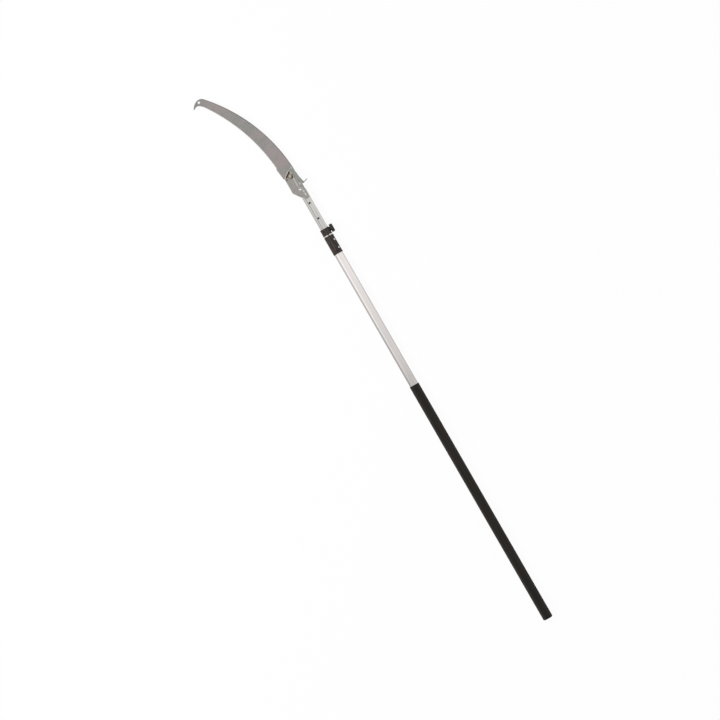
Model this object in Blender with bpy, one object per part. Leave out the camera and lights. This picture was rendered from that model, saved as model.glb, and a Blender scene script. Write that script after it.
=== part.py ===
# Telescopic pole saw with a long curved blade, shown pushed together and lying on its back.
# The pole runs along +Y, the blade lies flat with its teeth towards -X, and +Z is up.
# The origin is the middle of the butt's flat end, on the pole's axis.

import math

import bmesh
import bpy
from mathutils import Matrix, Vector
from mathutils.geometry import delaunay_2d_cdt

MM = 0.001

# Clearances
SEAT_GAP = 0.3 * MM       # between two faces that bear on each other
PIN_GAP = 0.15 * MM       # round a pin, a screw or a rivet in its hole
SLIDE_GAP = 0.3 * MM      # between the two tubes, on each side
RUN_GAP = 0.6 * MM        # round a piece that swings in a slot
CUT_OVER = 2.0 * MM       # how far a cutter runs past the face that it cuts

# Outer pole, a flattened aluminium tube
OUTER_WIDTH = 29.8 * MM
OUTER_THICK = 22.0 * MM
OUTER_CORNER = 8.0 * MM
OUTER_WALL = 1.1 * MM
OUTER_LENGTH = 1471.0 * MM
CORNER_STEPS = 5

# Inner pole, the same section one size down, with a channel along its front face
INNER_WALL = 1.2 * MM
CHANNEL_HALF = 5.0 * MM
CHANNEL_SLOPE = 0.6 * MM
CHANNEL_DEPTH = 1.6 * MM
INDEX_RADIUS = 3.25 * MM
INDEX_PITCH = 58.0 * MM
INDEX_FROM_TOP = 50.0 * MM
INDEX_FREE_END = 260.0 * MM      # least length without holes, which stays in the outer pole
STORED_INDEX = 3          # the hole, counted from the top, that lies under the latch when stored

# Rubber grip and butt cap
GRIP_LENGTH = 880.0 * MM
GRIP_WALL = 1.5 * MM
GRIP_LIP = 0.8 * MM
CAP_RIM = 8.0 * MM
CAP_ROUND = 4.0 * MM
CAP_PLUG = 22.0 * MM

# Plugs in the ends of the inner pole
FOOT_STOP = 3.7 * MM             # between the foot and the butt cap's plug when stored
FOOT_FLANGE = 6.0 * MM
FOOT_PLUG = 22.0 * MM
HEAD_PLUG = 34.0 * MM

# Clamp collar on the mouth of the outer pole
COLLAR_LENGTH = 23.7 * MM
COLLAR_SIDE_WALL = 1.0 * MM
COLLAR_FACE_WALL = 1.8 * MM
COLLAR_CHAMFER = 0.7 * MM
COLLAR_RIDGE_HEIGHT = 0.9 * MM
RIDGE_HALF = 4.9 * MM
COLLAR_LUG_LEFT = 1.6 * MM       # the lug that meets the housing and keeps the collar in line
COLLAR_LUG_RIGHT = 4.4 * MM
COLLAR_LUG_THICK = 1.4 * MM
BUSH_LENGTH = 2.7 * MM
COLLAR_SCREW_RADIUS = 1.75 * MM
COLLAR_SCREW_FROM_BOTTOM = 6.5 * MM

# Clamp knob with its screw, threaded insert and pressure shoe
CLAMP_FROM_TOP = 5.7 * MM
CLAMP_BOSS_RADIUS = 7.5 * MM
CLAMP_BOSS_HEIGHT = 2.0 * MM
CLAMP_BORE_RADIUS = 4.2 * MM
CLAMP_SCREW_RADIUS = 3.0 * MM
CLAMP_SHOE_THICK = 1.4 * MM
CLAMP_INSERT_LENGTH = 1.6 * MM
KNOB_RADIUS = 14.4 * MM
KNOB_THICK = 10.9 * MM
KNOB_FLUTES = 8
KNOB_FLUTE_DEPTH = 1.3 * MM
KNOB_BORE_DEPTH = 7.5 * MM

# Lock housing with its latch
HOUSING_GAP = 4.6 * MM
HOUSING_LENGTH = 65.0 * MM
HOUSING_SIDE_WALL = 1.8 * MM
HOUSING_FACE_WALL = 1.9 * MM
HOUSING_CHAMFER = 0.9 * MM
HOUSING_RIDGE_HEIGHT = 1.0 * MM
TURRET_TOP = 18.0 * MM
TURRET_HALF = 5.3 * MM
TURRET_START = 6.0 * MM
TURRET_LENGTH = 46.0 * MM
TURRET_SLOPE = 3.0 * MM
LATCH_REACH = 17.0 * MM          # nose, from the housing's lower end
LATCH_ARM = 11.5 * MM            # nose to pivot
LATCH_PIVOT_HEIGHT = 15.5 * MM
LATCH_PIN_RADIUS = 1.5 * MM
LATCH_NOSE_RADIUS = 2.4 * MM
LATCH_NOSE_TOP = 0.9 * MM        # above the pivot's height
LATCH_HALF_WIDTH = 3.3 * MM
LATCH_TAIL = 17.7 * MM
LATCH_PAD = 16.9 * MM
LATCH_PRESS = math.radians(8.0)
LATCH_SPRING_ARM = 10.5 * MM
LATCH_SPRING_RADIUS = 1.9 * MM
LATCH_SPRING_WIRE = 0.25 * MM
LATCH_SPRING_TURNS = 1.75
HOUSING_SCREW_RADIUS = 2.0 * MM
HOUSING_SCREW_PLACES = (17.0 * MM, 46.5 * MM)
HOUSING_SCREW_TILT = math.radians(24.0)
HOUSING_PAD_RADIUS = 4.2 * MM
HOUSING_PAD_HEIGHT = 0.5 * MM

# Screw and rivet heads
PAN_HEAD_RATIO = 1.75
PAN_HEAD_HEIGHT = 2.2 * MM
RIVET_HEAD_RATIO = 1.7
RIVET_HEAD_HEIGHT = 2.0 * MM

# Saw head: distances along the pole are from the inner pole's end
CHEEK_THICK = 2.4 * MM
CHEEK_LEFT = 32.2 * MM
CHEEK_RIGHT = 11.7 * MM
CHEEK_TOP_LEFT = 61.5 * MM
CHEEK_TOP_MIDDLE = (-6.6 * MM, 81.3 * MM)
CHEEK_TOP_RIGHT = 87.0 * MM
TONGUE_LAP = 32.0 * MM
TONGUE_LEFT = 6.4 * MM
TONGUE_RIGHT = 11.1 * MM
TONGUE_ROUND = 2.0 * MM
JOGGLE_START = 2.0 * MM
JOGGLE_END = 20.0 * MM
BEAD_PLACE = -5.8 * MM
BEAD_START = 11.0 * MM
BEAD_END = 51.0 * MM
BEAD_HALF = 2.2 * MM
BEAD_CREST = 0.9 * MM
BEAD_HEIGHT = 1.0 * MM
HANG_HOLE = (-4.1 * MM, 5.2 * MM)
HANG_HOLE_RADIUS = 3.2 * MM
KEY_SLOT_START = (-24.5 * MM, 61.6 * MM)
KEY_SLOT_END = (-7.5 * MM, 73.6 * MM)
KEY_SLOT_HALF = 2.1 * MM
POLE_RIVET_OFFSET = 2.35 * MM
POLE_RIVET_PLACES = (19.5 * MM, 6.5 * MM)
POLE_RIVET_RADIUS = 2.5 * MM
BOLT_PLACE = (-10.5 * MM, 57.5 * MM)
BOLT_RADIUS = 4.0 * MM
BOLT_FLATS = 13.0 * MM
BOLT_HEAD_HEIGHT = 5.3 * MM
NUT_HEIGHT = 6.5 * MM
BOLT_PROUD = 2.0 * MM
WASHER_RADIUS = 8.0 * MM
WASHER_THICK = 1.6 * MM
HEEL_RIVET_PLACE = (-27.5 * MM, 54.0 * MM)
HEEL_RIVET_RADIUS = 2.2 * MM
HEEL_SPACER_RADIUS = 3.5 * MM
HEEL_RIVET_HEAD = 1.6 * MM

# Blade: places are from the bolt's centre, angles from +X; places at the tip are across and along
# the blade from the end of its back
BLADE_THICK = 1.9 * MM
BACK_RADIUS = 556.6 * MM
BACK_START = (22.0 * MM, 24.5 * MM)
BACK_START_ANGLE = math.radians(3.585)
BACK_SWEEP = math.radians(38.8)
EDGE_RADIUS = 601.6 * MM
EDGE_START = (-25.2 * MM, 45.6 * MM)
EDGE_END = (-22.6 * MM, -7.4 * MM)
TOOTH_PITCH = 4.95 * MM
TOOTH_HEIGHT = 2.6 * MM
TOOTH_RAKE = 0.22
HEEL_STEP = (-29.4 * MM, 41.8 * MM)
HEEL_CORNER = (-24.8 * MM, 3.8 * MM)
SHOULDER = (-21.8 * MM, 1.8 * MM)
TANG_SHOULDER = 0.5 * MM
TANG_LEFT = 13.2 * MM
TANG_RIGHT = 20.3 * MM
TANG_END = 34.5 * MM
TANG_CHAMFER = 5.5 * MM
HOOK_POINT = (-43.7 * MM, 19.3 * MM)
HOOK_BLUNT = 1.4 * MM
TIP_HOLE = (-15.4 * MM, 10.7 * MM)
TIP_HOLE_RADIUS = 3.5 * MM

# Latch lever on the front of the head
LEVER_THICK = 2.0 * MM
LEVER_PIVOT = (1.8 * MM, 77.5 * MM)
LEVER_EYE = 6.2 * MM
LEVER_RIVET_RADIUS = 2.8 * MM
LEVER_RIVET_HEAD_RADIUS = 3.9 * MM
LEVER_RIVET_HEAD_HEIGHT = 1.4 * MM
LEVER_RIVET_BORE = 1.9 * MM
LEVER_RIVET_BORE_DEPTH = 3.0 * MM
PEG_PLACE = (7.7 * MM, -43.5 * MM)
PEG_RADIUS = 2.3 * MM
PEG_HEAD_RADIUS = 3.4 * MM
PEG_HEAD_HEIGHT = 1.4 * MM
TAB_ROOT = (12.6 * MM, -59.5 * MM)
TAB_LENGTH = 19.8 * MM
TAB_ANGLE = math.radians(18.5)
TAB_HEIGHT = 10.0 * MM
SPRING_RADIUS = 3.9 * MM
SPRING_WIRE = 0.5 * MM
SPRING_PITCH = 1.6 * MM
SPRING_TURNS = 1.75

# Sizes that follow from those above
INNER_WIDTH = OUTER_WIDTH - 2 * (OUTER_WALL + SLIDE_GAP)
INNER_THICK = OUTER_THICK - 2 * (OUTER_WALL + SLIDE_GAP)
INNER_CORNER = OUTER_CORNER - OUTER_WALL - SLIDE_GAP
OUTER_BOTTOM = CAP_RIM + SEAT_GAP
OUTER_TOP = OUTER_BOTTOM + OUTER_LENGTH
COLLAR_TOP = OUTER_TOP + SEAT_GAP + BUSH_LENGTH
COLLAR_BOTTOM = COLLAR_TOP - COLLAR_LENGTH
HOUSING_TOP = COLLAR_BOTTOM - HOUSING_GAP
HOUSING_BOTTOM = HOUSING_TOP - HOUSING_LENGTH
LATCH_NOSE_Y = HOUSING_BOTTOM + LATCH_REACH
LATCH_PIVOT_Y = LATCH_NOSE_Y + LATCH_ARM
INNER_TOP = LATCH_NOSE_Y + STORED_INDEX * INDEX_PITCH + INDEX_FROM_TOP
INNER_LENGTH = INNER_TOP - (CAP_RIM + CAP_PLUG + FOOT_STOP + FOOT_FLANGE + SEAT_GAP)
INDEX_COUNT = 1 + int((INNER_LENGTH - INDEX_FROM_TOP - INDEX_FREE_END) / INDEX_PITCH)
CLAMP_Y = OUTER_TOP - CLAMP_FROM_TOP
CORNER_X = OUTER_WIDTH / 2 - OUTER_CORNER
CORNER_Z = OUTER_THICK / 2 - OUTER_CORNER
CHANNEL_FLOOR = INNER_THICK / 2 - CHANNEL_DEPTH
CHEEK_INSIDE = BLADE_THICK / 2 + SEAT_GAP
CHEEK_OUTSIDE = CHEEK_INSIDE + CHEEK_THICK
TONGUE_INSIDE = INNER_THICK / 2 + SEAT_GAP
TONGUE_OUTSIDE = TONGUE_INSIDE + CHEEK_THICK
LEVER_BOTTOM = CHEEK_OUTSIDE + SEAT_GAP
LEVER_TOP = LEVER_BOTTOM + LEVER_THICK


def start_empty():
    """Remove whatever the open file holds."""
    for thing in list(bpy.data.objects):
        bpy.data.objects.remove(thing, do_unlink=True)


def finish(name, colour, metallic, roughness):
    """A plain material with one colour."""
    material = bpy.data.materials.new(name)
    material.use_nodes = True
    shader = material.node_tree.nodes["Principled BSDF"]
    shader.inputs["Base Color"].default_value = (*colour, 1.0)
    shader.inputs["Metallic"].default_value = metallic
    shader.inputs["Roughness"].default_value = roughness
    material.diffuse_color = (*colour, 1.0)
    return material


def frame(name, place, parent=None):
    """An empty that carries the pieces of one body."""
    holder = bpy.data.objects.new(name, None)
    holder.location = place
    holder.parent = parent
    bpy.context.collection.objects.link(holder)
    return holder


def add_object(name, bm, material, place=(0, 0, 0), parent=None, smooth=None):
    """Turn a bmesh into a named object; smooth is the angle up to which its faces shade as one."""
    bmesh.ops.remove_doubles(bm, verts=bm.verts[:], dist=0.001 * MM)
    bmesh.ops.recalc_face_normals(bm, faces=bm.faces[:])
    mesh = bpy.data.meshes.new(name)
    bm.to_mesh(mesh)
    bm.free()
    if smooth is not None:
        mesh.shade_smooth()
        mesh.set_sharp_from_angle(angle=math.radians(smooth))
    thing = bpy.data.objects.new(name, mesh)
    thing.location = place
    thing.parent = parent
    if material is not None:
        mesh.materials.append(material)
    bpy.context.collection.objects.link(thing)
    return thing


def combine(target, tool, operation):
    """Cut a hidden tool from a piece, or join it on."""
    tool.hide_render = True
    tool.display_type = "WIRE"
    tool.parent = target.parent
    modifier = target.modifiers.new(tool.name, "BOOLEAN")
    modifier.operation = operation
    modifier.solver = "EXACT"
    modifier.object = tool


def cut(target, name, bm, place=(0, 0, 0)):
    combine(target, add_object(name, bm, None, place), "DIFFERENCE")


def join(target, name, bm, place=(0, 0, 0)):
    combine(target, add_object(name, bm, None, place), "UNION")


# Outlines in two dimensions

def arc(centre, radius, start, end, steps):
    """Points on an arc, both ends included; angles in radians."""
    turn = [start + (end - start) * i / steps for i in range(steps + 1)]
    return [(centre[0] + radius * math.cos(a), centre[1] + radius * math.sin(a)) for a in turn]


def circle(centre, radius, steps=20):
    return arc(centre, radius, 0.0, 2 * math.pi, steps)[:-1]


def bezier(p0, p1, p2, p3, steps):
    """Points inside and at the ends of a cubic curve."""
    points = []
    for i in range(steps + 1):
        t = i / steps
        weights = ((1 - t) ** 3, 3 * t * (1 - t) ** 2, 3 * t * t * (1 - t), t ** 3)
        x = sum(w * p[0] for w, p in zip(weights, (p0, p1, p2, p3)))
        y = sum(w * p[1] for w, p in zip(weights, (p0, p1, p2, p3)))
        points.append((x, y))
    return points


def slot(start, end, half, steps=6):
    """A slot with round ends."""
    along = math.atan2(end[1] - start[1], end[0] - start[0])
    quarter = math.pi / 2
    first = arc(end, half, along - quarter, along + quarter, steps)
    second = arc(start, half, along + quarter, along + 3 * quarter, steps)
    return first + second


def oblong(width, thick, corner, top=(), lift=0.0):
    """The poles' flattened section, counter-clockwise; top adds points along its upper side."""
    x, z = width / 2 - corner, thick / 2 - corner
    quarter = math.pi / 2
    loop = arc((x, z), corner, 0, quarter, CORNER_STEPS)
    loop += [(px, thick / 2 + pz) for px, pz in top]
    loop += arc((-x, z), corner, quarter, 2 * quarter, CORNER_STEPS)
    loop += arc((-x, -z), corner, 2 * quarter, 3 * quarter, CORNER_STEPS)
    loop += arc((x, -z), corner, 3 * quarter, 4 * quarter, CORNER_STEPS)
    return [(px, pz + lift) for px, pz in loop]


def outer_section(grow):
    """The outer pole's outside, grown all round."""
    return oblong(OUTER_WIDTH + 2 * grow, OUTER_THICK + 2 * grow, OUTER_CORNER + grow)


def channel(half, depth):
    """The channel's points, right to left, for the top of a section."""
    floor = half - CHANNEL_SLOPE
    return ((half, 0), (floor, -depth), (-floor, -depth), (-half, 0))


def ridge(height):
    return ((RIDGE_HALF, 0), (RIDGE_HALF, height), (-RIDGE_HALF, height), (-RIDGE_HALF, 0))


def inner_outside():
    return oblong(INNER_WIDTH, INNER_THICK, INNER_CORNER, channel(CHANNEL_HALF, CHANNEL_DEPTH))


def inner_void():
    """The inner pole's hollow, one wall inside its outside."""
    top = channel(CHANNEL_HALF + INNER_WALL, CHANNEL_DEPTH)
    return oblong(INNER_WIDTH - 2 * INNER_WALL, INNER_THICK - 2 * INNER_WALL, INNER_CORNER - INNER_WALL, top)


def plug_section(gap):
    """A plain plug that passes under the channel in the inner pole's hollow."""
    width = INNER_WIDTH - 2 * (INNER_WALL + gap)
    floor = -INNER_THICK / 2 + INNER_WALL + gap
    roof = INNER_THICK / 2 - INNER_WALL - CHANNEL_DEPTH - gap
    return oblong(width, roof - floor, INNER_CORNER - INNER_WALL - gap, lift=(roof + floor) / 2)


# Solids

def inside(point, loops):
    """Even-odd test of a point against all loops."""
    odd = False
    for loop in loops:
        for (ax, ay), (bx, by) in zip(loop, loop[1:] + loop[:1]):
            if (ay > point.y) != (by > point.y) and point.x < ax + (point.y - ay) * (bx - ax) / (by - ay):
                odd = not odd
    return odd


def slab(loops, height, creases=()):
    """A plate from z = 0 up: the first loop is its outline, the others are holes or raised lines."""
    points, edges = [], []
    for line, closed in [(loop, True) for loop in loops] + [(crease, False) for crease in creases]:
        first = len(points)
        points += [Vector(p) for p in line]
        edges += [(first + i, first + i + 1) for i in range(len(line) - 1)]
        if closed:
            edges.append((first + len(line) - 1, first))
    verts, _, faces, *_ = delaunay_2d_cdt(points, edges, [], 0, 1e-8)
    bm = bmesh.new()
    made = [bm.verts.new((v.x, v.y, 0)) for v in verts]
    for face in faces:
        middle = sum((verts[i] for i in face), Vector((0, 0))) / len(face)
        if inside(middle, loops):
            bm.faces.new([made[i] for i in face])
    loose = [v for v in bm.verts if not v.link_faces]
    bmesh.ops.delete(bm, geom=loose, context="VERTS")
    grown = bmesh.ops.extrude_face_region(bm, geom=bm.faces[:])["geom"]
    lifted = [g for g in grown if isinstance(g, bmesh.types.BMVert)]
    bmesh.ops.translate(bm, vec=(0, 0, height), verts=lifted)
    return bm


def turn_mesh(bm, matrix):
    bmesh.ops.transform(bm, matrix=matrix, verts=bm.verts[:])
    return bm


def bar(loops, start, end):
    """A straight bar along Y whose section is given as (x, z) loops."""
    bm = slab([[(x, -z) for x, z in loop] for loop in loops], end - start)
    return turn_mesh(bm, Matrix.Translation((0, start, 0)) @ Matrix.Rotation(-math.pi / 2, 4, "X"))


def plank(loop, left, right):
    """A plate standing across the pole: a (y, z) outline pushed along X."""
    bm = slab([loop], right - left)
    to_x = Matrix(((0, 0, 1, left), (1, 0, 0, 0), (0, 1, 0, 0), (0, 0, 0, 1)))
    return turn_mesh(bm, to_x)


def loft(rings):
    """Join rings of equal count into one closed skin."""
    bm = bmesh.new()
    made = [[bm.verts.new(point) for point in ring] for ring in rings]
    for lower, upper in zip(made, made[1:]):
        for i in range(len(lower)):
            j = (i + 1) % len(lower)
            bm.faces.new((lower[i], lower[j], upper[j], upper[i]))
    bm.faces.new(made[0])
    bm.faces.new(made[-1])
    return bm


def sleeve_rings(stations):
    """Rings along Y from (y, section) pairs."""
    return [[(x, y, z) for x, z in section] for y, section in stations]


def turned(profile, steps=20, axis="Z"):
    """A closed turned piece from (radius, height) points; a profile that keeps off the axis is a ring."""
    bm = bmesh.new()
    verts = [bm.verts.new((r, 0, h)) for r, h in profile]
    edges = [bm.edges.new(pair) for pair in zip(verts, verts[1:])]
    if profile[0][0] > 0:
        edges.append(bm.edges.new((verts[-1], verts[0])))
    bmesh.ops.spin(bm, geom=verts + edges, cent=(0, 0, 0), axis=(0, 0, 1), angle=2 * math.pi,
                   steps=steps, use_merge=True)
    bmesh.ops.remove_doubles(bm, verts=bm.verts[:], dist=0.001 * MM)
    if axis == "X":
        turn_mesh(bm, Matrix.Rotation(math.pi / 2, 4, "Y"))
    return bm


def rod(radius, start, end, steps=20, axis="Z"):
    return turned(((0, start), (radius, start), (radius, end), (0, end)), steps, axis)


def ring(inner, outer, start, end, steps=24, axis="Z"):
    return turned(((inner, start), (outer, start), (outer, end), (inner, end)), steps, axis)


def hexagon(flats):
    return circle((0, 0), flats / 2 / math.cos(math.pi / 6), 6)


def least_gap(points, radius):
    """The least gap between parts of a bent wire that lie more than three of its widths apart along it."""
    dense, travelled = [], [0.0]
    for a, b in zip(points, points[1:]):
        a, b = Vector(a), Vector(b)
        count = max(1, math.ceil((b - a).length / radius))
        dense += [a.lerp(b, i / count) for i in range(count)]
    dense.append(Vector(points[-1]))
    for a, b in zip(dense, dense[1:]):
        travelled.append(travelled[-1] + (b - a).length)
    gaps = [(p - q).length for i, p in enumerate(dense) for j, q in enumerate(dense[:i])
            if travelled[i] - travelled[j] > 6 * radius]
    return min(gaps) - 2 * radius


def wire(name, points, radius, material, place, parent):
    """A round wire along a list of points, with closed ends."""
    print(f"{name}: least gap to itself {least_gap(points, radius) / MM:.2f} mm")
    curve = bpy.data.curves.new(name, "CURVE")
    curve.dimensions = "3D"
    curve.bevel_depth = radius
    curve.bevel_resolution = 1
    curve.use_fill_caps = True
    spline = curve.splines.new("POLY")
    spline.points.add(len(points) - 1)
    for target, point in zip(spline.points, points):
        target.co = (*point, 1.0)
    curve.materials.append(material)
    thing = bpy.data.objects.new(name, curve)
    thing.location = place
    thing.parent = parent
    bpy.context.collection.objects.link(thing)
    return thing


# Poles, grip and plugs

def build_outer_pole(material, handle):
    hollow = outer_section(-OUTER_WALL)
    pole = add_object("outer_pole", bar([outer_section(0), hollow], OUTER_BOTTOM, OUTER_TOP), material,
                      parent=handle, smooth=35)
    nose_half = LATCH_NOSE_RADIUS + RUN_GAP
    swing = (LATCH_PIVOT_HEIGHT - CHANNEL_FLOOR) * math.sin(LATCH_PRESS)
    window = slot((0, LATCH_NOSE_Y), (0, LATCH_NOSE_Y - swing), nose_half)
    cut(pole, "nose_window", slab([window], OUTER_WALL + 2 * CUT_OVER),
        (0, 0, OUTER_THICK / 2 - OUTER_WALL - CUT_OVER))
    shoe_hole = rod(CLAMP_BORE_RADIUS, INNER_WIDTH / 2, OUTER_WIDTH / 2 + CUT_OVER, axis="X")
    cut(pole, "shoe_window", shoe_hole, (0, CLAMP_Y, 0))
    for index, place in enumerate(HOUSING_SCREW_PLACES):
        hole = rod(HOUSING_SCREW_RADIUS + PIN_GAP, 0, OUTER_CORNER + CUT_OVER, 16)
        turn_mesh(hole, Matrix.Rotation(HOUSING_SCREW_TILT, 4, "Y"))
        cut(pole, f"pole_screw_hole_{index}", hole, (CORNER_X, HOUSING_BOTTOM + place, CORNER_Z))
    back_hole = rod(COLLAR_SCREW_RADIUS + PIN_GAP, -OUTER_THICK / 2 - CUT_OVER, 0, 16)
    cut(pole, "pole_back_hole", back_hole, (0, COLLAR_BOTTOM + COLLAR_SCREW_FROM_BOTTOM, 0))
    return pole


def build_inner_pole(material, extension):
    pole = add_object("inner_pole", bar([inner_outside(), inner_void()], -INNER_LENGTH, 0), material,
                      parent=extension, smooth=35)
    holes = bmesh.new()
    for index in range(INDEX_COUNT):
        place = -INDEX_FROM_TOP - index * INDEX_PITCH
        spot = Matrix.Translation((0, place, CHANNEL_FLOOR - INNER_WALL / 2))
        bmesh.ops.create_cone(holes, cap_ends=True, segments=16, radius1=INDEX_RADIUS, radius2=INDEX_RADIUS,
                              depth=INNER_WALL + CHANNEL_DEPTH, matrix=spot)
    cut(pole, "index_holes", holes)
    for index, place in enumerate(POLE_RIVET_PLACES):
        hole = rod(POLE_RIVET_RADIUS + PIN_GAP, -INNER_THICK, INNER_THICK, 16)
        cut(pole, f"inner_rivet_hole_{index}", hole, (POLE_RIVET_OFFSET, -place, 0))
    return pole


def build_grip(material, handle):
    """Rubber sleeve over the outer pole, with slightly rounded ends."""
    bottom, top = OUTER_BOTTOM, OUTER_BOTTOM + GRIP_LENGTH
    full = outer_section(SEAT_GAP + GRIP_WALL)
    lip = outer_section(SEAT_GAP + GRIP_WALL - GRIP_LIP)
    rings = sleeve_rings(((bottom, full), (top - GRIP_LIP, full), (top, lip)))
    grip = add_object("grip_sleeve", loft(rings), material, parent=handle, smooth=40)
    cut(grip, "grip_bore", bar([outer_section(SEAT_GAP)], bottom - CUT_OVER, top + CUT_OVER))
    return grip


def build_end_cap(material, handle):
    """Rubber butt cap: a rounded rim under the pole and a plug inside it."""
    grow = SEAT_GAP + GRIP_WALL
    stations = []
    for step in range(5):
        angle = math.pi / 2 * step / 4
        inset = CAP_ROUND * (1 - math.sin(angle))
        stations.append((CAP_ROUND * (1 - math.cos(angle)), outer_section(grow - inset)))
    stations.append((CAP_RIM, outer_section(grow)))
    plug = outer_section(-OUTER_WALL - SEAT_GAP)
    stations.append((CAP_RIM, plug))
    stations.append((CAP_RIM + CAP_PLUG, plug))
    return add_object("end_cap", loft(sleeve_rings(stations)), material, parent=handle, smooth=40)


def build_inner_foot(material, extension):
    """Nylon foot that guides the inner pole's lower end in the outer pole."""
    flange = oblong(INNER_WIDTH, INNER_THICK, INNER_CORNER)
    plug = plug_section(SEAT_GAP)
    seat = -INNER_LENGTH - SEAT_GAP
    stations = ((seat - FOOT_FLANGE, flange), (seat, flange), (seat, plug), (seat + FOOT_PLUG, plug))
    return add_object("inner_foot", loft(sleeve_rings(stations)), material, parent=extension, smooth=40)


def build_head_plug(material, extension):
    """Solid insert that keeps the inner pole from crushing under the head's rivets."""
    plug = add_object("head_plug", bar([plug_section(SEAT_GAP)], -HEAD_PLUG, -SEAT_GAP), material,
                      parent=extension, smooth=40)
    for index, place in enumerate(POLE_RIVET_PLACES):
        hole = rod(POLE_RIVET_RADIUS + PIN_GAP, -INNER_THICK, INNER_THICK, 16)
        cut(plug, f"plug_rivet_hole_{index}", hole, (POLE_RIVET_OFFSET, -place, 0))
    return plug


# Clamp at the mouth of the outer pole

def build_collar(material, handle):
    side, face = SEAT_GAP + COLLAR_SIDE_WALL, SEAT_GAP + COLLAR_FACE_WALL

    def section(inset):
        return oblong(OUTER_WIDTH + 2 * (side - inset), OUTER_THICK + 2 * (face - inset),
                      OUTER_CORNER + side - inset, ridge(COLLAR_RIDGE_HEIGHT))

    rings = sleeve_rings((
        (COLLAR_BOTTOM, section(COLLAR_CHAMFER)), (COLLAR_BOTTOM + COLLAR_CHAMFER, section(0)),
        (COLLAR_TOP - COLLAR_CHAMFER, section(0)), (COLLAR_TOP, section(COLLAR_CHAMFER))))
    collar = add_object("clamp_collar", loft(rings), material, parent=handle, smooth=35)
    boss = rod(CLAMP_BOSS_RADIUS, INNER_WIDTH / 2, boss_face(), 32, "X")
    join(collar, "clamp_boss", boss, (0, CLAMP_Y, 0))
    root = OUTER_THICK / 2 + SEAT_GAP
    start, end, top = HOUSING_TOP + SEAT_GAP, COLLAR_BOTTOM + 2 * COLLAR_CHAMFER, root + COLLAR_LUG_THICK
    lug = plank([(start, root), (end, root), (end, top), (start, top)], -COLLAR_LUG_LEFT, COLLAR_LUG_RIGHT)
    join(collar, "collar_lug", lug)
    bore = bar([outer_section(SEAT_GAP)], COLLAR_BOTTOM - CUT_OVER, COLLAR_TOP + CUT_OVER)
    cut(collar, "collar_bore", bore)
    cut(collar, "clamp_bore", rod(CLAMP_BORE_RADIUS, 0, boss_face() + CUT_OVER, axis="X"), (0, CLAMP_Y, 0))
    back_hole = rod(COLLAR_SCREW_RADIUS + PIN_GAP, -OUTER_THICK, 0, 16)
    cut(collar, "collar_back_hole", back_hole, (0, COLLAR_BOTTOM + COLLAR_SCREW_FROM_BOTTOM, 0))
    return collar


def boss_face():
    """How far the collar's boss stands from the pole's axis."""
    return OUTER_WIDTH / 2 + SEAT_GAP + COLLAR_SIDE_WALL + CLAMP_BOSS_HEIGHT


def build_bush(material, handle):
    """Nylon ring at the mouth that the inner pole slides in."""
    hole = oblong(INNER_WIDTH + 2 * SLIDE_GAP, INNER_THICK + 2 * SLIDE_GAP, INNER_CORNER + SLIDE_GAP)
    rings = [outer_section(0), hole]
    return add_object("guide_bush", bar(rings, OUTER_TOP + SEAT_GAP, COLLAR_TOP), material,
                      parent=handle, smooth=35)


def build_collar_screw(material, handle):
    """Short screw that pins the collar to the back of the outer pole."""
    tip = OUTER_THICK / 2 - OUTER_WALL
    seat = OUTER_THICK / 2 + SEAT_GAP + COLLAR_FACE_WALL + SEAT_GAP
    screw = pan_screw(COLLAR_SCREW_RADIUS, tip, seat)
    turn_mesh(screw, Matrix.Rotation(math.pi, 4, "Y"))
    return add_object("collar_screw", screw, material, (0, COLLAR_BOTTOM + COLLAR_SCREW_FROM_BOTTOM, 0),
                      handle, smooth=40)


def pan_screw(radius, tip, seat):
    """A pan-head screw along +Z, from its tip to the seat under its head."""
    head = radius * PAN_HEAD_RATIO
    crown = seat + PAN_HEAD_HEIGHT
    point = min(0.3 * radius, 0.3 * (seat - tip))
    profile = ((0, tip), (radius - point, tip), (radius, tip + point), (radius, seat), (head, seat),
               (head, seat + 0.55 * PAN_HEAD_HEIGHT), (0.8 * head, seat + 0.88 * PAN_HEAD_HEIGHT),
               (0.4 * head, crown), (0, crown))
    return turned(profile, 16)


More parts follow.
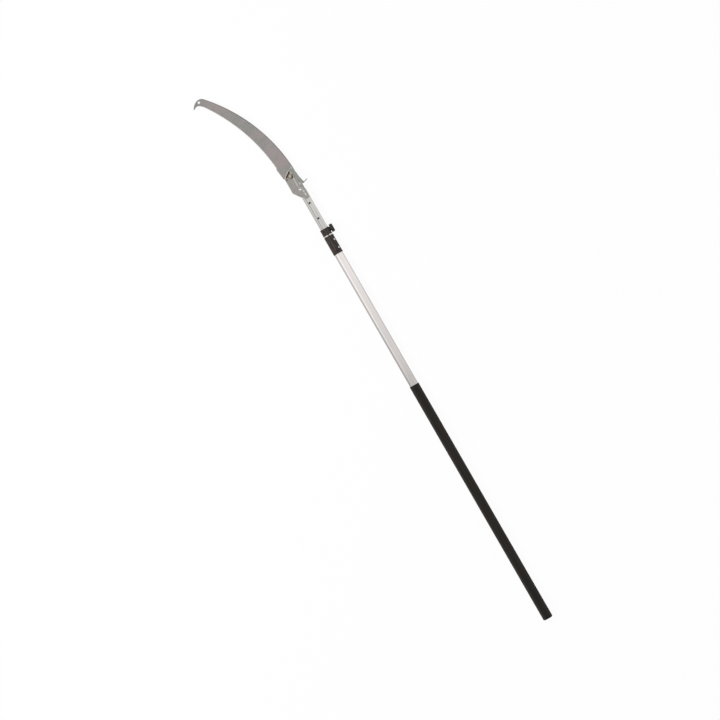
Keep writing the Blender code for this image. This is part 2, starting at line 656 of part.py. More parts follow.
def build_clamp(steel, brass, plastic, nylon, handle):
    """Pressure shoe, threaded insert, screw and knob, all on the clamp's axis."""
    shoe_start = INNER_WIDTH / 2 + SEAT_GAP
    shoe_end = shoe_start + CLAMP_SHOE_THICK
    shoe_frame = frame("clamp_shoe_axis", (0, CLAMP_Y, 0), handle)
    shoe_radius = CLAMP_BORE_RADIUS - SEAT_GAP
    shoe = rod(shoe_radius, shoe_start, shoe_end, 24, "X")
    add_object("clamp_shoe", shoe, nylon, parent=shoe_frame, smooth=40)
    face = boss_face()
    inner, outer = CLAMP_SCREW_RADIUS + PIN_GAP, CLAMP_BORE_RADIUS - PIN_GAP
    insert = ring(inner, outer, face - CLAMP_INSERT_LENGTH, face, 24, "X")
    add_object("screw_insert", insert, brass, (0, CLAMP_Y, 0), handle, smooth=40)
    knob_frame = frame("clamp_knob_axis", (0, 0, 0), shoe_frame)
    knob_start = face + SEAT_GAP
    screw_start = shoe_end + SEAT_GAP
    chamfer = 0.15 * CLAMP_SCREW_RADIUS
    screw_end = knob_start + KNOB_BORE_DEPTH - SEAT_GAP
    profile = ((0, screw_start), (CLAMP_SCREW_RADIUS - chamfer, screw_start),
               (CLAMP_SCREW_RADIUS, screw_start + chamfer), (CLAMP_SCREW_RADIUS, screw_end), (0, screw_end))
    add_object("clamp_screw", turned(profile, 20, "X"), steel, parent=knob_frame, smooth=40)
    knob = add_object("clamp_knob", knob_mesh(knob_start), plastic, parent=knob_frame, smooth=35)
    bore = rod(CLAMP_SCREW_RADIUS + PIN_GAP, knob_start - CUT_OVER, knob_start + KNOB_BORE_DEPTH, axis="X")
    cut(knob, "knob_bore", bore)


def knob_mesh(start):
    """A fluted knob with a domed face, its axis along X."""
    levels = ((0.0, 0.9), (0.09, 0.97), (0.6, 1.0), (0.82, 0.97), (0.94, 0.88), (1.0, 0.72))
    around = KNOB_FLUTES * 6
    rings = []
    for height, scale in levels:
        row = []
        for i in range(around):
            angle = 2 * math.pi * i / around
            dip = max(0.0, math.cos(KNOB_FLUTES * angle)) ** 2
            radius = scale * (KNOB_RADIUS - KNOB_FLUTE_DEPTH * dip)
            row.append((start + height * KNOB_THICK, radius * math.cos(angle), radius * math.sin(angle)))
        rings.append(row)
    return loft(rings)


# Lock housing and its latch

def build_housing(material, handle):
    side, face = SEAT_GAP + HOUSING_SIDE_WALL, SEAT_GAP + HOUSING_FACE_WALL

    def section(inset):
        return oblong(OUTER_WIDTH + 2 * (side - inset), OUTER_THICK + 2 * (face - inset),
                      OUTER_CORNER + side - inset, ridge(HOUSING_RIDGE_HEIGHT))

    rings = sleeve_rings((
        (HOUSING_BOTTOM, section(HOUSING_CHAMFER)), (HOUSING_BOTTOM + HOUSING_CHAMFER, section(0)),
        (HOUSING_TOP - HOUSING_CHAMFER, section(0)), (HOUSING_TOP, section(HOUSING_CHAMFER))))
    housing = add_object("lock_housing", loft(rings), material, parent=handle, smooth=35)
    root = OUTER_THICK / 2
    start = HOUSING_BOTTOM + TURRET_START
    end = start + TURRET_LENGTH
    turret = [(start, root), (end, root), (end - TURRET_SLOPE, TURRET_TOP),
              (start + TURRET_SLOPE, TURRET_TOP)]
    join(housing, "latch_turret", plank(turret, -TURRET_HALF, TURRET_HALF))
    pad_top = OUTER_CORNER + side + HOUSING_PAD_HEIGHT
    for index, place in enumerate(HOUSING_SCREW_PLACES):
        pad = rod(HOUSING_PAD_RADIUS, OUTER_CORNER, pad_top, 24)
        turn_mesh(pad, Matrix.Rotation(HOUSING_SCREW_TILT, 4, "Y"))
        join(housing, f"screw_pad_{index}", pad, (CORNER_X, HOUSING_BOTTOM + place, CORNER_Z))
    bore = bar([outer_section(SEAT_GAP)], HOUSING_BOTTOM - CUT_OVER, HOUSING_TOP + CUT_OVER)
    cut(housing, "housing_bore", bore)
    half = LATCH_HALF_WIDTH + SEAT_GAP
    low, high = LATCH_PIVOT_Y - LATCH_TAIL - RUN_GAP, LATCH_PIVOT_Y + LATCH_PAD + RUN_GAP
    floor, sky = OUTER_THICK / 2 - OUTER_WALL, TURRET_TOP + CUT_OVER
    pocket = plank([(low, floor), (high, floor), (high, sky), (low, sky)], -half, half)
    cut(housing, "latch_pocket", pocket)
    for index, place in enumerate(HOUSING_SCREW_PLACES):
        hole = rod(HOUSING_SCREW_RADIUS + PIN_GAP, 0, pad_top + CUT_OVER, 16)
        turn_mesh(hole, Matrix.Rotation(HOUSING_SCREW_TILT, 4, "Y"))
        cut(housing, f"housing_screw_hole_{index}", hole, (CORNER_X, HOUSING_BOTTOM + place, CORNER_Z))
    pin_hole = rod(LATCH_PIN_RADIUS + PIN_GAP, -TURRET_HALF - CUT_OVER, TURRET_HALF + CUT_OVER, 16, "X")
    cut(housing, "latch_pin_hole", pin_hole, (0, LATCH_PIVOT_Y, LATCH_PIVOT_HEIGHT))
    return housing


def build_housing_screws(material, handle):
    """Two short screws that pin the housing to the outer pole's corner."""
    tip = OUTER_CORNER - OUTER_WALL
    seat = OUTER_CORNER + SEAT_GAP + HOUSING_SIDE_WALL + HOUSING_PAD_HEIGHT + SEAT_GAP
    for name, place in zip(("housing_screw_lower", "housing_screw_upper"), HOUSING_SCREW_PLACES):
        screw = pan_screw(HOUSING_SCREW_RADIUS, tip, seat)
        turn_mesh(screw, Matrix.Rotation(HOUSING_SCREW_TILT, 4, "Y"))
        add_object(name, screw, material, (CORNER_X, HOUSING_BOTTOM + place, CORNER_Z), handle, smooth=40)


def build_latch(plastic, steel, spring_steel, handle):
    """Rocking latch button on its pin, with the index nose and the return spring."""
    pivot = frame("latch_axis", (0, LATCH_PIVOT_Y, LATCH_PIVOT_HEIGHT), handle)
    low, mid = -1.4 * MM, -1.9 * MM
    outline = [(-LATCH_TAIL, low), (0.35 * LATCH_PAD, mid), (LATCH_PAD, -0.2 * MM), (LATCH_PAD, 2.9 * MM),
               (0.74 * LATCH_PAD, 3.9 * MM), (0, 3.1 * MM), (-0.82 * LATCH_TAIL, 2.8 * MM),
               (-LATCH_TAIL, 1.6 * MM)]
    body = plank(outline, -LATCH_HALF_WIDTH, LATCH_HALF_WIDTH)
    button = add_object("latch_button", body, plastic, parent=pivot)
    socket = rod(LATCH_NOSE_RADIUS + PIN_GAP, -LATCH_PIVOT_HEIGHT, LATCH_NOSE_TOP + SEAT_GAP, 20)
    cut(button, "nose_socket", socket, (0, -LATCH_ARM, 0))
    half = LATCH_HALF_WIDTH + CUT_OVER
    cut(button, "button_pin_hole", rod(LATCH_PIN_RADIUS + PIN_GAP, -half, half, 16, "X"))
    tip = CHANNEL_FLOOR + SEAT_GAP - LATCH_PIVOT_HEIGHT
    chamfer = 0.25 * LATCH_NOSE_RADIUS
    nose = turned(((0, tip), (LATCH_NOSE_RADIUS - chamfer, tip), (LATCH_NOSE_RADIUS, tip + chamfer),
                   (LATCH_NOSE_RADIUS, LATCH_NOSE_TOP), (0, LATCH_NOSE_TOP)), 20)
    add_object("latch_nose", nose, steel, (0, -LATCH_ARM, 0), pivot, smooth=40)
    pin = rod(LATCH_PIN_RADIUS, -TURRET_HALF, TURRET_HALF, 16, "X")
    add_object("latch_pin", pin, steel, (0, LATCH_PIVOT_Y, LATCH_PIVOT_HEIGHT), handle, smooth=40)
    bottom = OUTER_THICK / 2 + SEAT_GAP + LATCH_SPRING_WIRE
    slope = (mid + 0.2 * MM) / (LATCH_PAD - 0.35 * LATCH_PAD)
    underside = -0.2 * MM + slope * (LATCH_PAD - LATCH_SPRING_ARM)
    top = LATCH_PIVOT_HEIGHT + underside - SEAT_GAP - 2 * LATCH_SPRING_WIRE
    coil = helix(LATCH_SPRING_RADIUS, bottom, top, LATCH_SPRING_TURNS, 10)
    spring_place = (0, LATCH_PIVOT_Y + LATCH_SPRING_ARM, 0)
    wire("latch_spring", coil, LATCH_SPRING_WIRE, spring_steel, spring_place, handle)


def helix(radius, bottom, top, turns, per_turn, start=0.0):
    count = round(turns * per_turn)
    points = []
    for i in range(count + 1):
        angle = start + 2 * math.pi * turns * i / count
        height = bottom + (top - bottom) * i / count
        points.append((radius * math.cos(angle), radius * math.sin(angle), height))
    return points


# Saw head

def cheek_outline():
    """Outline of a cheek, counter-clockwise from the tongue's left corner, without its notch."""
    lap = -TONGUE_LAP
    quarter = math.pi / 2
    loop = arc((-TONGUE_LEFT + TONGUE_ROUND, lap + TONGUE_ROUND), TONGUE_ROUND, 2 * quarter, 3 * quarter, 3)
    loop += arc((TONGUE_RIGHT - TONGUE_ROUND, lap + TONGUE_ROUND), TONGUE_ROUND, 3 * quarter, 4 * quarter, 3)
    loop.append((CHEEK_RIGHT, 0.5 * lap))
    loop.append((CHEEK_RIGHT, CHEEK_TOP_RIGHT))
    loop.append(CHEEK_TOP_MIDDLE)
    loop.append((-CHEEK_LEFT, CHEEK_TOP_LEFT))
    loop.append((-CHEEK_LEFT, 0.2 * -lap))
    loop.append((-INNER_WIDTH / 2, 0.625 * lap))
    loop.append((-TONGUE_LEFT, 0.78 * lap))
    return loop


def with_notch(loop, right, lever_peg):
    """Add the peg's notch to the straight right side of an outline, at x = right."""
    half = PEG_RADIUS + RUN_GAP
    quarter = math.pi / 2
    bottom = (right, lever_peg[1] - half)
    top = (right, lever_peg[1] + half)
    notch = [bottom] + arc(lever_peg, half, -quarter, -3 * quarter, 8) + [top]
    for index, (point, after) in enumerate(zip(loop, loop[1:])):
        upright = abs(point[0] - right) < 0.01 * MM and abs(after[0] - right) < 0.01 * MM
        if upright and point[1] < bottom[1] and after[1] > top[1]:
            return loop[:index + 1] + notch + loop[index + 1:]
    return loop


def peg_in_head():
    """The peg's centre, from the inner pole's end."""
    return (LEVER_PIVOT[0] + PEG_PLACE[0], LEVER_PIVOT[1] + PEG_PLACE[1])


def press_height(y):
    """How far a cheek's inner face stands from the blade's middle at a distance along the head."""
    share = min(max((y - JOGGLE_START) / (JOGGLE_END - JOGGLE_START), 0.0), 1.0)
    return TONGUE_INSIDE + share * (CHEEK_INSIDE - TONGUE_INSIDE)


def on_bead(x, y):
    """Whether a point lies on the crest of the stiffening bead."""
    margin = 0.01 * MM
    start, end = BEAD_START + BEAD_HALF - margin, BEAD_END - BEAD_HALF + margin
    return abs(x - BEAD_PLACE) < BEAD_CREST + margin and start - BEAD_CREST < y < end + BEAD_CREST


def cheek_mesh(side, loops, bead):
    """Press a flat cheek to shape: side is +1 for the front and -1 for the rear."""
    far = 2 * CHEEK_LEFT
    creases = [[(-far, JOGGLE_START), (far, JOGGLE_START)], [(-far, JOGGLE_END), (far, JOGGLE_END)]]
    if bead:
        start, end = (BEAD_PLACE, BEAD_START + BEAD_HALF), (BEAD_PLACE, BEAD_END - BEAD_HALF)
        for half in (BEAD_HALF, BEAD_CREST):
            outline = slot(start, end, half)
            creases.append(outline + outline[:1])
    bm = slab(loops, CHEEK_THICK, creases)
    for vert in bm.verts:
        raised = BEAD_HEIGHT if bead and on_bead(vert.co.x, vert.co.y) else 0.0
        vert.co.z = side * (vert.co.z + press_height(vert.co.y) + raised)
    return bm


def build_cheeks(material, extension):
    """Two pressed steel cheeks that run from the pole's faces in to the blade's."""
    shared = [circle(BOLT_PLACE, BOLT_RADIUS + PIN_GAP, 24), circle(HANG_HOLE, HANG_HOLE_RADIUS, 16),
              circle(HEEL_RIVET_PLACE, HEEL_RIVET_RADIUS + PIN_GAP, 16)]
    rivet_hole = POLE_RIVET_RADIUS + PIN_GAP
    shared += [circle((POLE_RIVET_OFFSET, -place), rivet_hole, 16) for place in POLE_RIVET_PLACES]
    key = slot(KEY_SLOT_START, KEY_SLOT_END, KEY_SLOT_HALF)
    pivot = circle(LEVER_PIVOT, LEVER_RIVET_RADIUS + PIN_GAP, 20)
    outline = cheek_outline()
    front = [with_notch(outline, CHEEK_RIGHT, peg_in_head())] + shared + [key, pivot]
    add_object("front_cheek", cheek_mesh(1, front, True), material, parent=extension)
    add_object("rear_cheek", cheek_mesh(-1, [outline] + shared, False), material, parent=extension)


def blade_outline():
    """The blade's outline from the bolt's centre, counter-clockwise from the tang's lower left."""
    left, right, end = -TANG_LEFT, TANG_RIGHT, -TANG_END
    loop = [(left, end + TANG_CHAMFER), (left + TANG_CHAMFER, end), (right - TANG_CHAMFER, end),
            (right, end + TANG_CHAMFER), (right, BACK_START[1] - TANG_CHAMFER)]
    loop += arc(back_centre(), BACK_RADIUS, BACK_START_ANGLE, BACK_START_ANGLE + BACK_SWEEP, 28)
    across, along = HOOK_POINT
    shoulder, hook = at_tip(0, 0), at_tip(across, along)
    loop += bezier(shoulder, at_tip(0, 16 * MM), at_tip(across + 24.4 * MM, along + 8.6 * MM), hook, 16)[1:]
    teeth = tooth_points()
    inner = at_tip(across + 0.5 * HOOK_BLUNT, along - HOOK_BLUNT)
    rise, fall = at_tip(across + 9.4 * MM, along - 3.4 * MM), at_tip(across + 20.7 * MM, along - 4.3 * MM)
    loop += bezier(inner, rise, fall, teeth[0], 12)[:-1]
    loop += teeth
    loop += [HEEL_STEP, HEEL_CORNER, SHOULDER, (left, TANG_SHOULDER)]
    return loop


def back_centre():
    return (BACK_START[0] - BACK_RADIUS * math.cos(BACK_START_ANGLE),
            BACK_START[1] - BACK_RADIUS * math.sin(BACK_START_ANGLE))


def at_tip(across, along):
    """A place given across and along the blade from the end of its back."""
    angle = BACK_START_ANGLE + BACK_SWEEP
    cos, sin = math.cos(angle), math.sin(angle)
    x, y = back_centre()
    return (x + (BACK_RADIUS + across) * cos - along * sin, y + (BACK_RADIUS + across) * sin + along * cos)


def tooth_points():
    """Gullets and tips from the blade's point down to its heel; the teeth bite on the pull."""
    low, high = Vector(EDGE_START), Vector(at_tip(*EDGE_END))
    chord = high - low
    inward = Vector((-chord.y, chord.x)).normalized()
    centre = (low + high) / 2 + inward * math.sqrt(EDGE_RADIUS ** 2 - (chord.length / 2) ** 2)
    first = math.atan2(low.y - centre.y, low.x - centre.x)
    last = math.atan2(high.y - centre.y, high.x - centre.x)
    count = round((last - first) * EDGE_RADIUS / TOOTH_PITCH)
    step = (last - first) / count
    points = []
    for index in range(count, 0, -1):
        gullet = first + index * step
        tip = gullet - (1 - TOOTH_RAKE) * step
        for radius, angle in ((EDGE_RADIUS, gullet), (EDGE_RADIUS - TOOTH_HEIGHT, tip)):
            points.append((centre.x + radius * math.cos(angle), centre.y + radius * math.sin(angle)))
    points.append(EDGE_START)
    return points


def build_blade(material, extension):
    loop = with_notch(blade_outline(), TANG_RIGHT, peg_from_bolt())
    tip_hole = circle(at_tip(*TIP_HOLE), TIP_HOLE_RADIUS, 20)
    bolt_hole = circle((0, 0), BOLT_RADIUS + PIN_GAP, 24)
    key = slot(from_bolt(KEY_SLOT_START), from_bolt(KEY_SLOT_END), KEY_SLOT_HALF)
    bm = slab([loop, bolt_hole, key, tip_hole], BLADE_THICK)
    place = (BOLT_PLACE[0], BOLT_PLACE[1], -BLADE_THICK / 2)
    return add_object("blade", bm, material, place, extension)


def from_bolt(place):
    return (place[0] - BOLT_PLACE[0], place[1] - BOLT_PLACE[1])


def peg_from_bolt():
    return from_bolt(peg_in_head())


def build_head_bolt(zinc, extension):
    """Hexagon bolt through the cheeks and the tang, with two washers and its nut."""
    place = (BOLT_PLACE[0], BOLT_PLACE[1], 0)
    washer_low = CHEEK_OUTSIDE + SEAT_GAP
    washer_high = washer_low + WASHER_THICK
    head_seat = washer_high + SEAT_GAP
    hole = BOLT_RADIUS + PIN_GAP
    shank_end = -head_seat - NUT_HEIGHT - BOLT_PROUD
    bolt = add_object("head_bolt", slab([hexagon(BOLT_FLATS)], BOLT_HEAD_HEIGHT), zinc,
                      (place[0], place[1], head_seat), extension)
    shank = rod(BOLT_RADIUS, shank_end - head_seat, 0.5 * BOLT_HEAD_HEIGHT, 24)
    join(bolt, "bolt_shank", shank, (place[0], place[1], head_seat))
    front = ring(hole, WASHER_RADIUS, washer_low, washer_high, 32)
    add_object("front_washer", front, zinc, place, extension, smooth=40)
    rear = ring(hole, WASHER_RADIUS, -washer_high, -washer_low, 32)
    add_object("rear_washer", rear, zinc, place, extension, smooth=40)
    nut = slab([hexagon(BOLT_FLATS), circle((0, 0), hole, 24)], NUT_HEIGHT)
    add_object("head_nut", nut, zinc, (place[0], place[1], -head_seat - NUT_HEIGHT), extension)


def rivet(radius, seat, head_height, steps=16):
    """A rivet along Z with a domed head at each end, seated at plus and minus the same height."""
    head = radius * RIVET_HEAD_RATIO
    half = [(radius, seat), (head, seat), (head, seat + 0.3 * head_height),
            (0.75 * head, seat + 0.8 * head_height), (0, seat + head_height)]
    lower = [(r, -h) for r, h in reversed(half)]
    return turned(lower + half, steps)


def build_rivets(steel, dark_steel, extension):
    """Rivets that hold the cheeks to the pole and to each other."""
    for name, place in zip(("pole_rivet_lower", "pole_rivet_upper"), POLE_RIVET_PLACES):
        mesh = rivet(POLE_RIVET_RADIUS, TONGUE_OUTSIDE + SEAT_GAP, RIVET_HEAD_HEIGHT)
        add_object(name, mesh, steel, (POLE_RIVET_OFFSET, -place, 0), extension, smooth=50)
    place = (HEEL_RIVET_PLACE[0], HEEL_RIVET_PLACE[1], 0)
    add_object("heel_rivet", rivet(HEEL_RIVET_RADIUS, CHEEK_OUTSIDE + SEAT_GAP, HEEL_RIVET_HEAD), dark_steel,
               place, extension, smooth=50)
    half = CHEEK_INSIDE - SEAT_GAP
    spacer = ring(HEEL_RIVET_RADIUS + PIN_GAP, HEEL_SPACER_RADIUS, -half, half, 20)
    add_object("heel_spacer", spacer, steel, place, extension, smooth=40)


# Latch lever on the head

def lever_outline():
    """The lever's outline from its rivet, counter-clockwise from the right of its eye."""
    loop = arc((0, 0), LEVER_EYE, math.radians(-4), math.radians(186), 12)
    left = ((0.4, -17.5), (2.8, -35.5), (4.4, -52.0), (12.95, -60.3))
    right = ((18.0, -58.2), (14.8, -45.5), (12.4, -32.5), (10.6, -16.5))
    return loop + [(x * MM, y * MM) for x, y in left + right]


def build_lever(steel, spring_steel, extension):
    place = (LEVER_PIVOT[0], LEVER_PIVOT[1], 0)
    pivot = frame("lever_axis", place, extension)
    holes = [circle((0, 0), LEVER_RIVET_RADIUS + PIN_GAP, 20), circle(PEG_PLACE, PEG_RADIUS + PIN_GAP, 20)]
    lever = add_object("latch_lever", slab([lever_outline()] + holes, LEVER_THICK), steel,
                       (0, 0, LEVER_BOTTOM), pivot)
    half = LEVER_THICK / 2
    flat = slab([[(0, -half), (TAB_LENGTH, -half), (TAB_LENGTH, half), (0, half)]], TAB_HEIGHT)
    turn_mesh(flat, Matrix.Translation((TAB_ROOT[0], TAB_ROOT[1], 0)) @ Matrix.Rotation(TAB_ANGLE, 4, "Z"))
    join(lever, "lever_tab", flat, (0, 0, LEVER_BOTTOM))
    peg_seat = LEVER_TOP + SEAT_GAP
    peg = turned(((0, -BLADE_THICK / 2), (PEG_RADIUS, -BLADE_THICK / 2), (PEG_RADIUS, peg_seat),
                  (PEG_HEAD_RADIUS, peg_seat), (PEG_HEAD_RADIUS, peg_seat + 0.6 * PEG_HEAD_HEIGHT),
                  (0.7 * PEG_HEAD_RADIUS, peg_seat + PEG_HEAD_HEIGHT), (0, peg_seat + PEG_HEAD_HEIGHT)), 20)
    add_object("latch_peg", peg, steel, (PEG_PLACE[0], PEG_PLACE[1], 0), pivot, smooth=40)
    coil_low = LEVER_TOP + SEAT_GAP + SPRING_WIRE
    coil_high = coil_low + SPRING_PITCH * SPRING_TURNS
    head_seat = coil_high + SPRING_WIRE + SEAT_GAP
    head_top = head_seat + LEVER_RIVET_HEAD_HEIGHT
    radius, head = LEVER_RIVET_RADIUS, LEVER_RIVET_HEAD_RADIUS
    edge = head_seat + 0.4 * LEVER_RIVET_HEAD_HEIGHT
    floor = head_top - LEVER_RIVET_BORE_DEPTH
    body = turned(((0, CHEEK_INSIDE), (radius, CHEEK_INSIDE), (radius, head_seat), (head, head_seat),
                   (head, edge), (0.8 * head, head_top), (LEVER_RIVET_BORE, head_top),
                   (LEVER_RIVET_BORE, floor), (0, floor)), 24)
    add_object("lever_rivet", body, spring_steel, place, extension, smooth=45)
    points = lever_spring_points(coil_low, coil_high)
    wire("lever_spring", points, SPRING_WIRE, spring_steel, (0, 0, 0), pivot)


def lever_spring_points(low, high):
    """One leg from the bolt's head, the coil round the rivet, and one leg down the lever."""
    bolt = (BOLT_PLACE[0] - LEVER_PIVOT[0], BOLT_PLACE[1] - LEVER_PIVOT[1])
    distance = math.hypot(*bolt)
    toward = math.atan2(bolt[1], bolt[0])
    first_leg = distance - BOLT_FLATS / 2 / math.cos(math.pi / 6) - SPRING_WIRE - SEAT_GAP
    start = toward + math.acos(SPRING_RADIUS / distance)
    corner = (SPRING_RADIUS * math.cos(start), SPRING_RADIUS * math.sin(start))
    away = start - math.pi / 2
    far = (corner[0] + first_leg * math.cos(away), corner[1] + first_leg * math.sin(away))
    points = [(far[0], far[1], low)]
    coil = helix(SPRING_RADIUS, low, high, SPRING_TURNS, 12, start)
    points += coil
    points += [(2.0 * MM, -6.8 * MM, high), (8.0 * MM, -12.0 * MM, low + 0.6 * (high - low)),
               (10.2 * MM, -17.5 * MM, low + 0.5 * MM),
               (11.8 * MM, -19.6 * MM, low), (12.0 * MM, -20.0 * MM, LEVER_BOTTOM + SPRING_WIRE)]
    return points


def build():
    start_empty()
    white_aluminium = finish("satin_silver_aluminium", (0.78, 0.77, 0.76), 0.9, 0.42)
    aluminium = finish("mill_aluminium", (0.62, 0.62, 0.61), 0.9, 0.38)
    rubber = finish("black_rubber", (0.018, 0.017, 0.015), 0.0, 0.75)
    plastic = finish("black_nylon", (0.045, 0.043, 0.042), 0.0, 0.55)
    pale_nylon = finish("natural_nylon", (0.55, 0.53, 0.48), 0.0, 0.5)
    steel = finish("brushed_steel", (0.36, 0.35, 0.34), 1.0, 0.45)
    bright_steel = finish("bright_steel", (0.55, 0.55, 0.54), 1.0, 0.3)
    dark_steel = finish("blackened_steel", (0.08, 0.075, 0.07), 1.0, 0.5)
    zinc = finish("yellow_zinc", (0.60, 0.47, 0.27), 1.0, 0.35)
    brass = finish("brass", (0.56, 0.42, 0.20), 1.0, 0.35)

    handle = frame("handle_frame", (0, 0, 0))
    extension = frame("extension_frame", (0, INNER_TOP, 0), handle)
    build_outer_pole(white_aluminium, handle)
    build_grip(rubber, handle)
    build_end_cap(rubber, handle)
    build_bush(plastic, handle)
    build_collar(plastic, handle)
    build_collar_screw(bright_steel, handle)
    build_clamp(bright_steel, brass, plastic, pale_nylon, handle)
    build_housing(plastic, handle)
    build_housing_screws(bright_steel, handle)
    build_latch(plastic, bright_steel, bright_steel, handle)
    build_inner_pole(aluminium, extension)
    build_inner_foot(pale_nylon, extension)
    build_head_plug(pale_nylon, extension)
    build_cheeks(steel, extension)
    build_blade(steel, extension)
    build_head_bolt(zinc, extension)
    build_rivets(bright_steel, dark_steel, extension)
    build_lever(steel, bright_steel, extension)


build()
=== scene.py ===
"""Telescopic pole saw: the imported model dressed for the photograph's view.

Lengths are written in millimetres and multiplied by MM. +Y runs from the butt to the saw head,
+X towards the clamp knob, and +Z out of the front face.
"""

import functools
import math

import bmesh
import bpy
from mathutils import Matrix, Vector


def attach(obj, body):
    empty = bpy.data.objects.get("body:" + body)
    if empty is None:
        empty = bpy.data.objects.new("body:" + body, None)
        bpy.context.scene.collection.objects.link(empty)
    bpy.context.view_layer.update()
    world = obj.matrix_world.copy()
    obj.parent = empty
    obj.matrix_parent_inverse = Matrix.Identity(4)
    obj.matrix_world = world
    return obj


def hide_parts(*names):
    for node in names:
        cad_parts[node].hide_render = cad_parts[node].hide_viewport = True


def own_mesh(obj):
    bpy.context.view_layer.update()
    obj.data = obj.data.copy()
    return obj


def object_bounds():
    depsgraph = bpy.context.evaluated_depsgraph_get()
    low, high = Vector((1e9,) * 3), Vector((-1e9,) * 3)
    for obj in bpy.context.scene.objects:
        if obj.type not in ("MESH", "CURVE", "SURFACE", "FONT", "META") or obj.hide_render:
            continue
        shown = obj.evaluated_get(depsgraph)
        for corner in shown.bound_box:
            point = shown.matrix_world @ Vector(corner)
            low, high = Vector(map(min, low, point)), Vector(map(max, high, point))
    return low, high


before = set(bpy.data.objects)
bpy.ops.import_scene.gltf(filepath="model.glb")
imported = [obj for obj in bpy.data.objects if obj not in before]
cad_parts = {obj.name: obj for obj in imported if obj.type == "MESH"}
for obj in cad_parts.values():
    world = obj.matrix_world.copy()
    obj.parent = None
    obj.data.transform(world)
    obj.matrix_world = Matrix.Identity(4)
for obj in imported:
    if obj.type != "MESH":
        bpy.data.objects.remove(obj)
cad_low, cad_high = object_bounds()

MM = 0.001

# The photograph's frame: its millimetres per pixel, its turn and what lies at its centre
PIXELS = 720
MM_PER_PIXEL = 3.3
TURN = math.radians(-29.9)
AIM = (-113.7 * MM, 1048.7 * MM)
LENS = 100.0
SENSOR = 36.0

# Sections across the pole: width, thickness and corner radius
GRIP, GRIP_BORE = (33.4, 25.6, 9.8), (30.4, 22.6, 8.3)
OUTER, OUTER_BORE = (29.8, 22.0, 8.0), (27.6, 19.8, 6.9)
INNER, INNER_BORE = (27.0, 19.2, 6.6), (24.6, 16.8, 5.4)
INSERT, INSERT_DROP = (24.0, 14.6, 5.1), -0.8    # the nylon in the inner pole, below its channel

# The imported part's own measures that several pieces share
GRIP_START, GRIP_END = 8.3, 888.3
TUBE_END, MOUTH = 1479.3, 1482.3     # the outer tube's end and the bush's
HEAD = 1630.0                        # the inner pole's mouth, from which the head is measured
FIRST_HOLE = HEAD - 50.0             # the uppermost of the index holes
HOLE_PITCH, HOLE_COUNT = 58.0, 23
LATCH_PIVOT, PIVOT_HOLE = (1417.5, 15.5), 1.65   # along and above the pole
LATCH_NOSE_Y = 1406.0
CLAMP_Y, CLAMP_HOLE = 1473.6, 4.2
BACK_SCREW_Y, BACK_HOLE = 1465.1, 1.9
CORNER = (6.9, 3.0)                  # centre of the outer pole's front right corner
HOUSING_SCREWS, SCREW_HOLE = (1406.0, 1435.5), 2.15
SCREW_TILT = math.radians(24)
POLE_RIVETS, RIVET_HOLE = ((2.35, HEAD - 19.5), (2.35, HEAD - 6.5)), 2.65
BOLT, BOLT_HOLE, FLATS = (-10.5, HEAD + 57.5), 4.15, 13.0
KEY_SLOT, KEY_HALF = ((-24.5, HEAD + 61.6), (-7.5, HEAD + 73.6)), 2.1
PEG, PEG_ROOM = (9.5, HEAD + 34.0), 2.9
LEVER_PIVOT, LEVER_HOLE = (1.8, HEAD + 77.5), 2.95
HANG_HOLE = (-4.1, HEAD + 5.2)
HEEL_RIVET, HEEL_HOLE = (-27.5, HEAD + 54.0), 2.35
BEAD, BEAD_HALF = ((-5.8, HEAD + 13.2), (-5.8, HEAD + 48.8)), 2.6
LIP_HEIGHT = 0.8
RIGHT_SIDE = 11.7                    # the cheeks' straight right side
SHEET = 2.4                          # the cheeks' thickness
BLADE_HALF = 0.95
BACK_RADIUS = 556.6
BACK_START = (BOLT[0] + 22.0, BOLT[1] + 24.5)
BACK_ANGLES = (3.585, 3.585 + 38.8)
EDGE_RADIUS = 601.6
TOOTH_HEIGHT, TOOTH_PITCH, TOOTH_RAKE = 2.6, 4.95, 0.22
LEVER_LOW, LEVER_TOP = 3.95, 5.95
TAB_ROOT = (LEVER_PIVOT[0] + 12.6, LEVER_PIVOT[1] - 59.5)
TAB_ANGLE = math.radians(18.5)

# Turns that bring a shape's Z axis to another side
TO_RIGHT = (0, math.pi / 2, 0)
TO_BACK = (0, math.pi, 0)
TO_HEAD = (-math.pi / 2, 0, 0)


# ---------------------------------------------------------------- outlines

def arc_points(centre, radius, first, last, steps):
    """Points on an arc, its angles in degrees."""
    angles = [math.radians(first + (last - first) * step / steps) for step in range(steps + 1)]
    return [(centre[0] + radius * math.cos(angle), centre[1] + radius * math.sin(angle))
            for angle in angles]


def stadium(first, last, radius, steps=12):
    """A slot's outline with round ends."""
    along = math.degrees(math.atan2(last[1] - first[1], last[0] - first[0]))
    return (arc_points(last, radius, along - 90, along + 90, steps)
            + arc_points(first, radius, along + 90, along + 270, steps))


def bezier_points(first, leave, arrive, last, steps):
    """Points on a cubic curve between two points."""
    points = []
    for step in range(steps + 1):
        t = step / steps
        weights = ((1 - t) ** 3, 3 * t * (1 - t) ** 2, 3 * t * t * (1 - t), t ** 3)
        points.append(tuple(sum(w * p[i] for w, p in zip(weights, (first, leave, arrive, last)))
                            for i in (0, 1)))
    return points


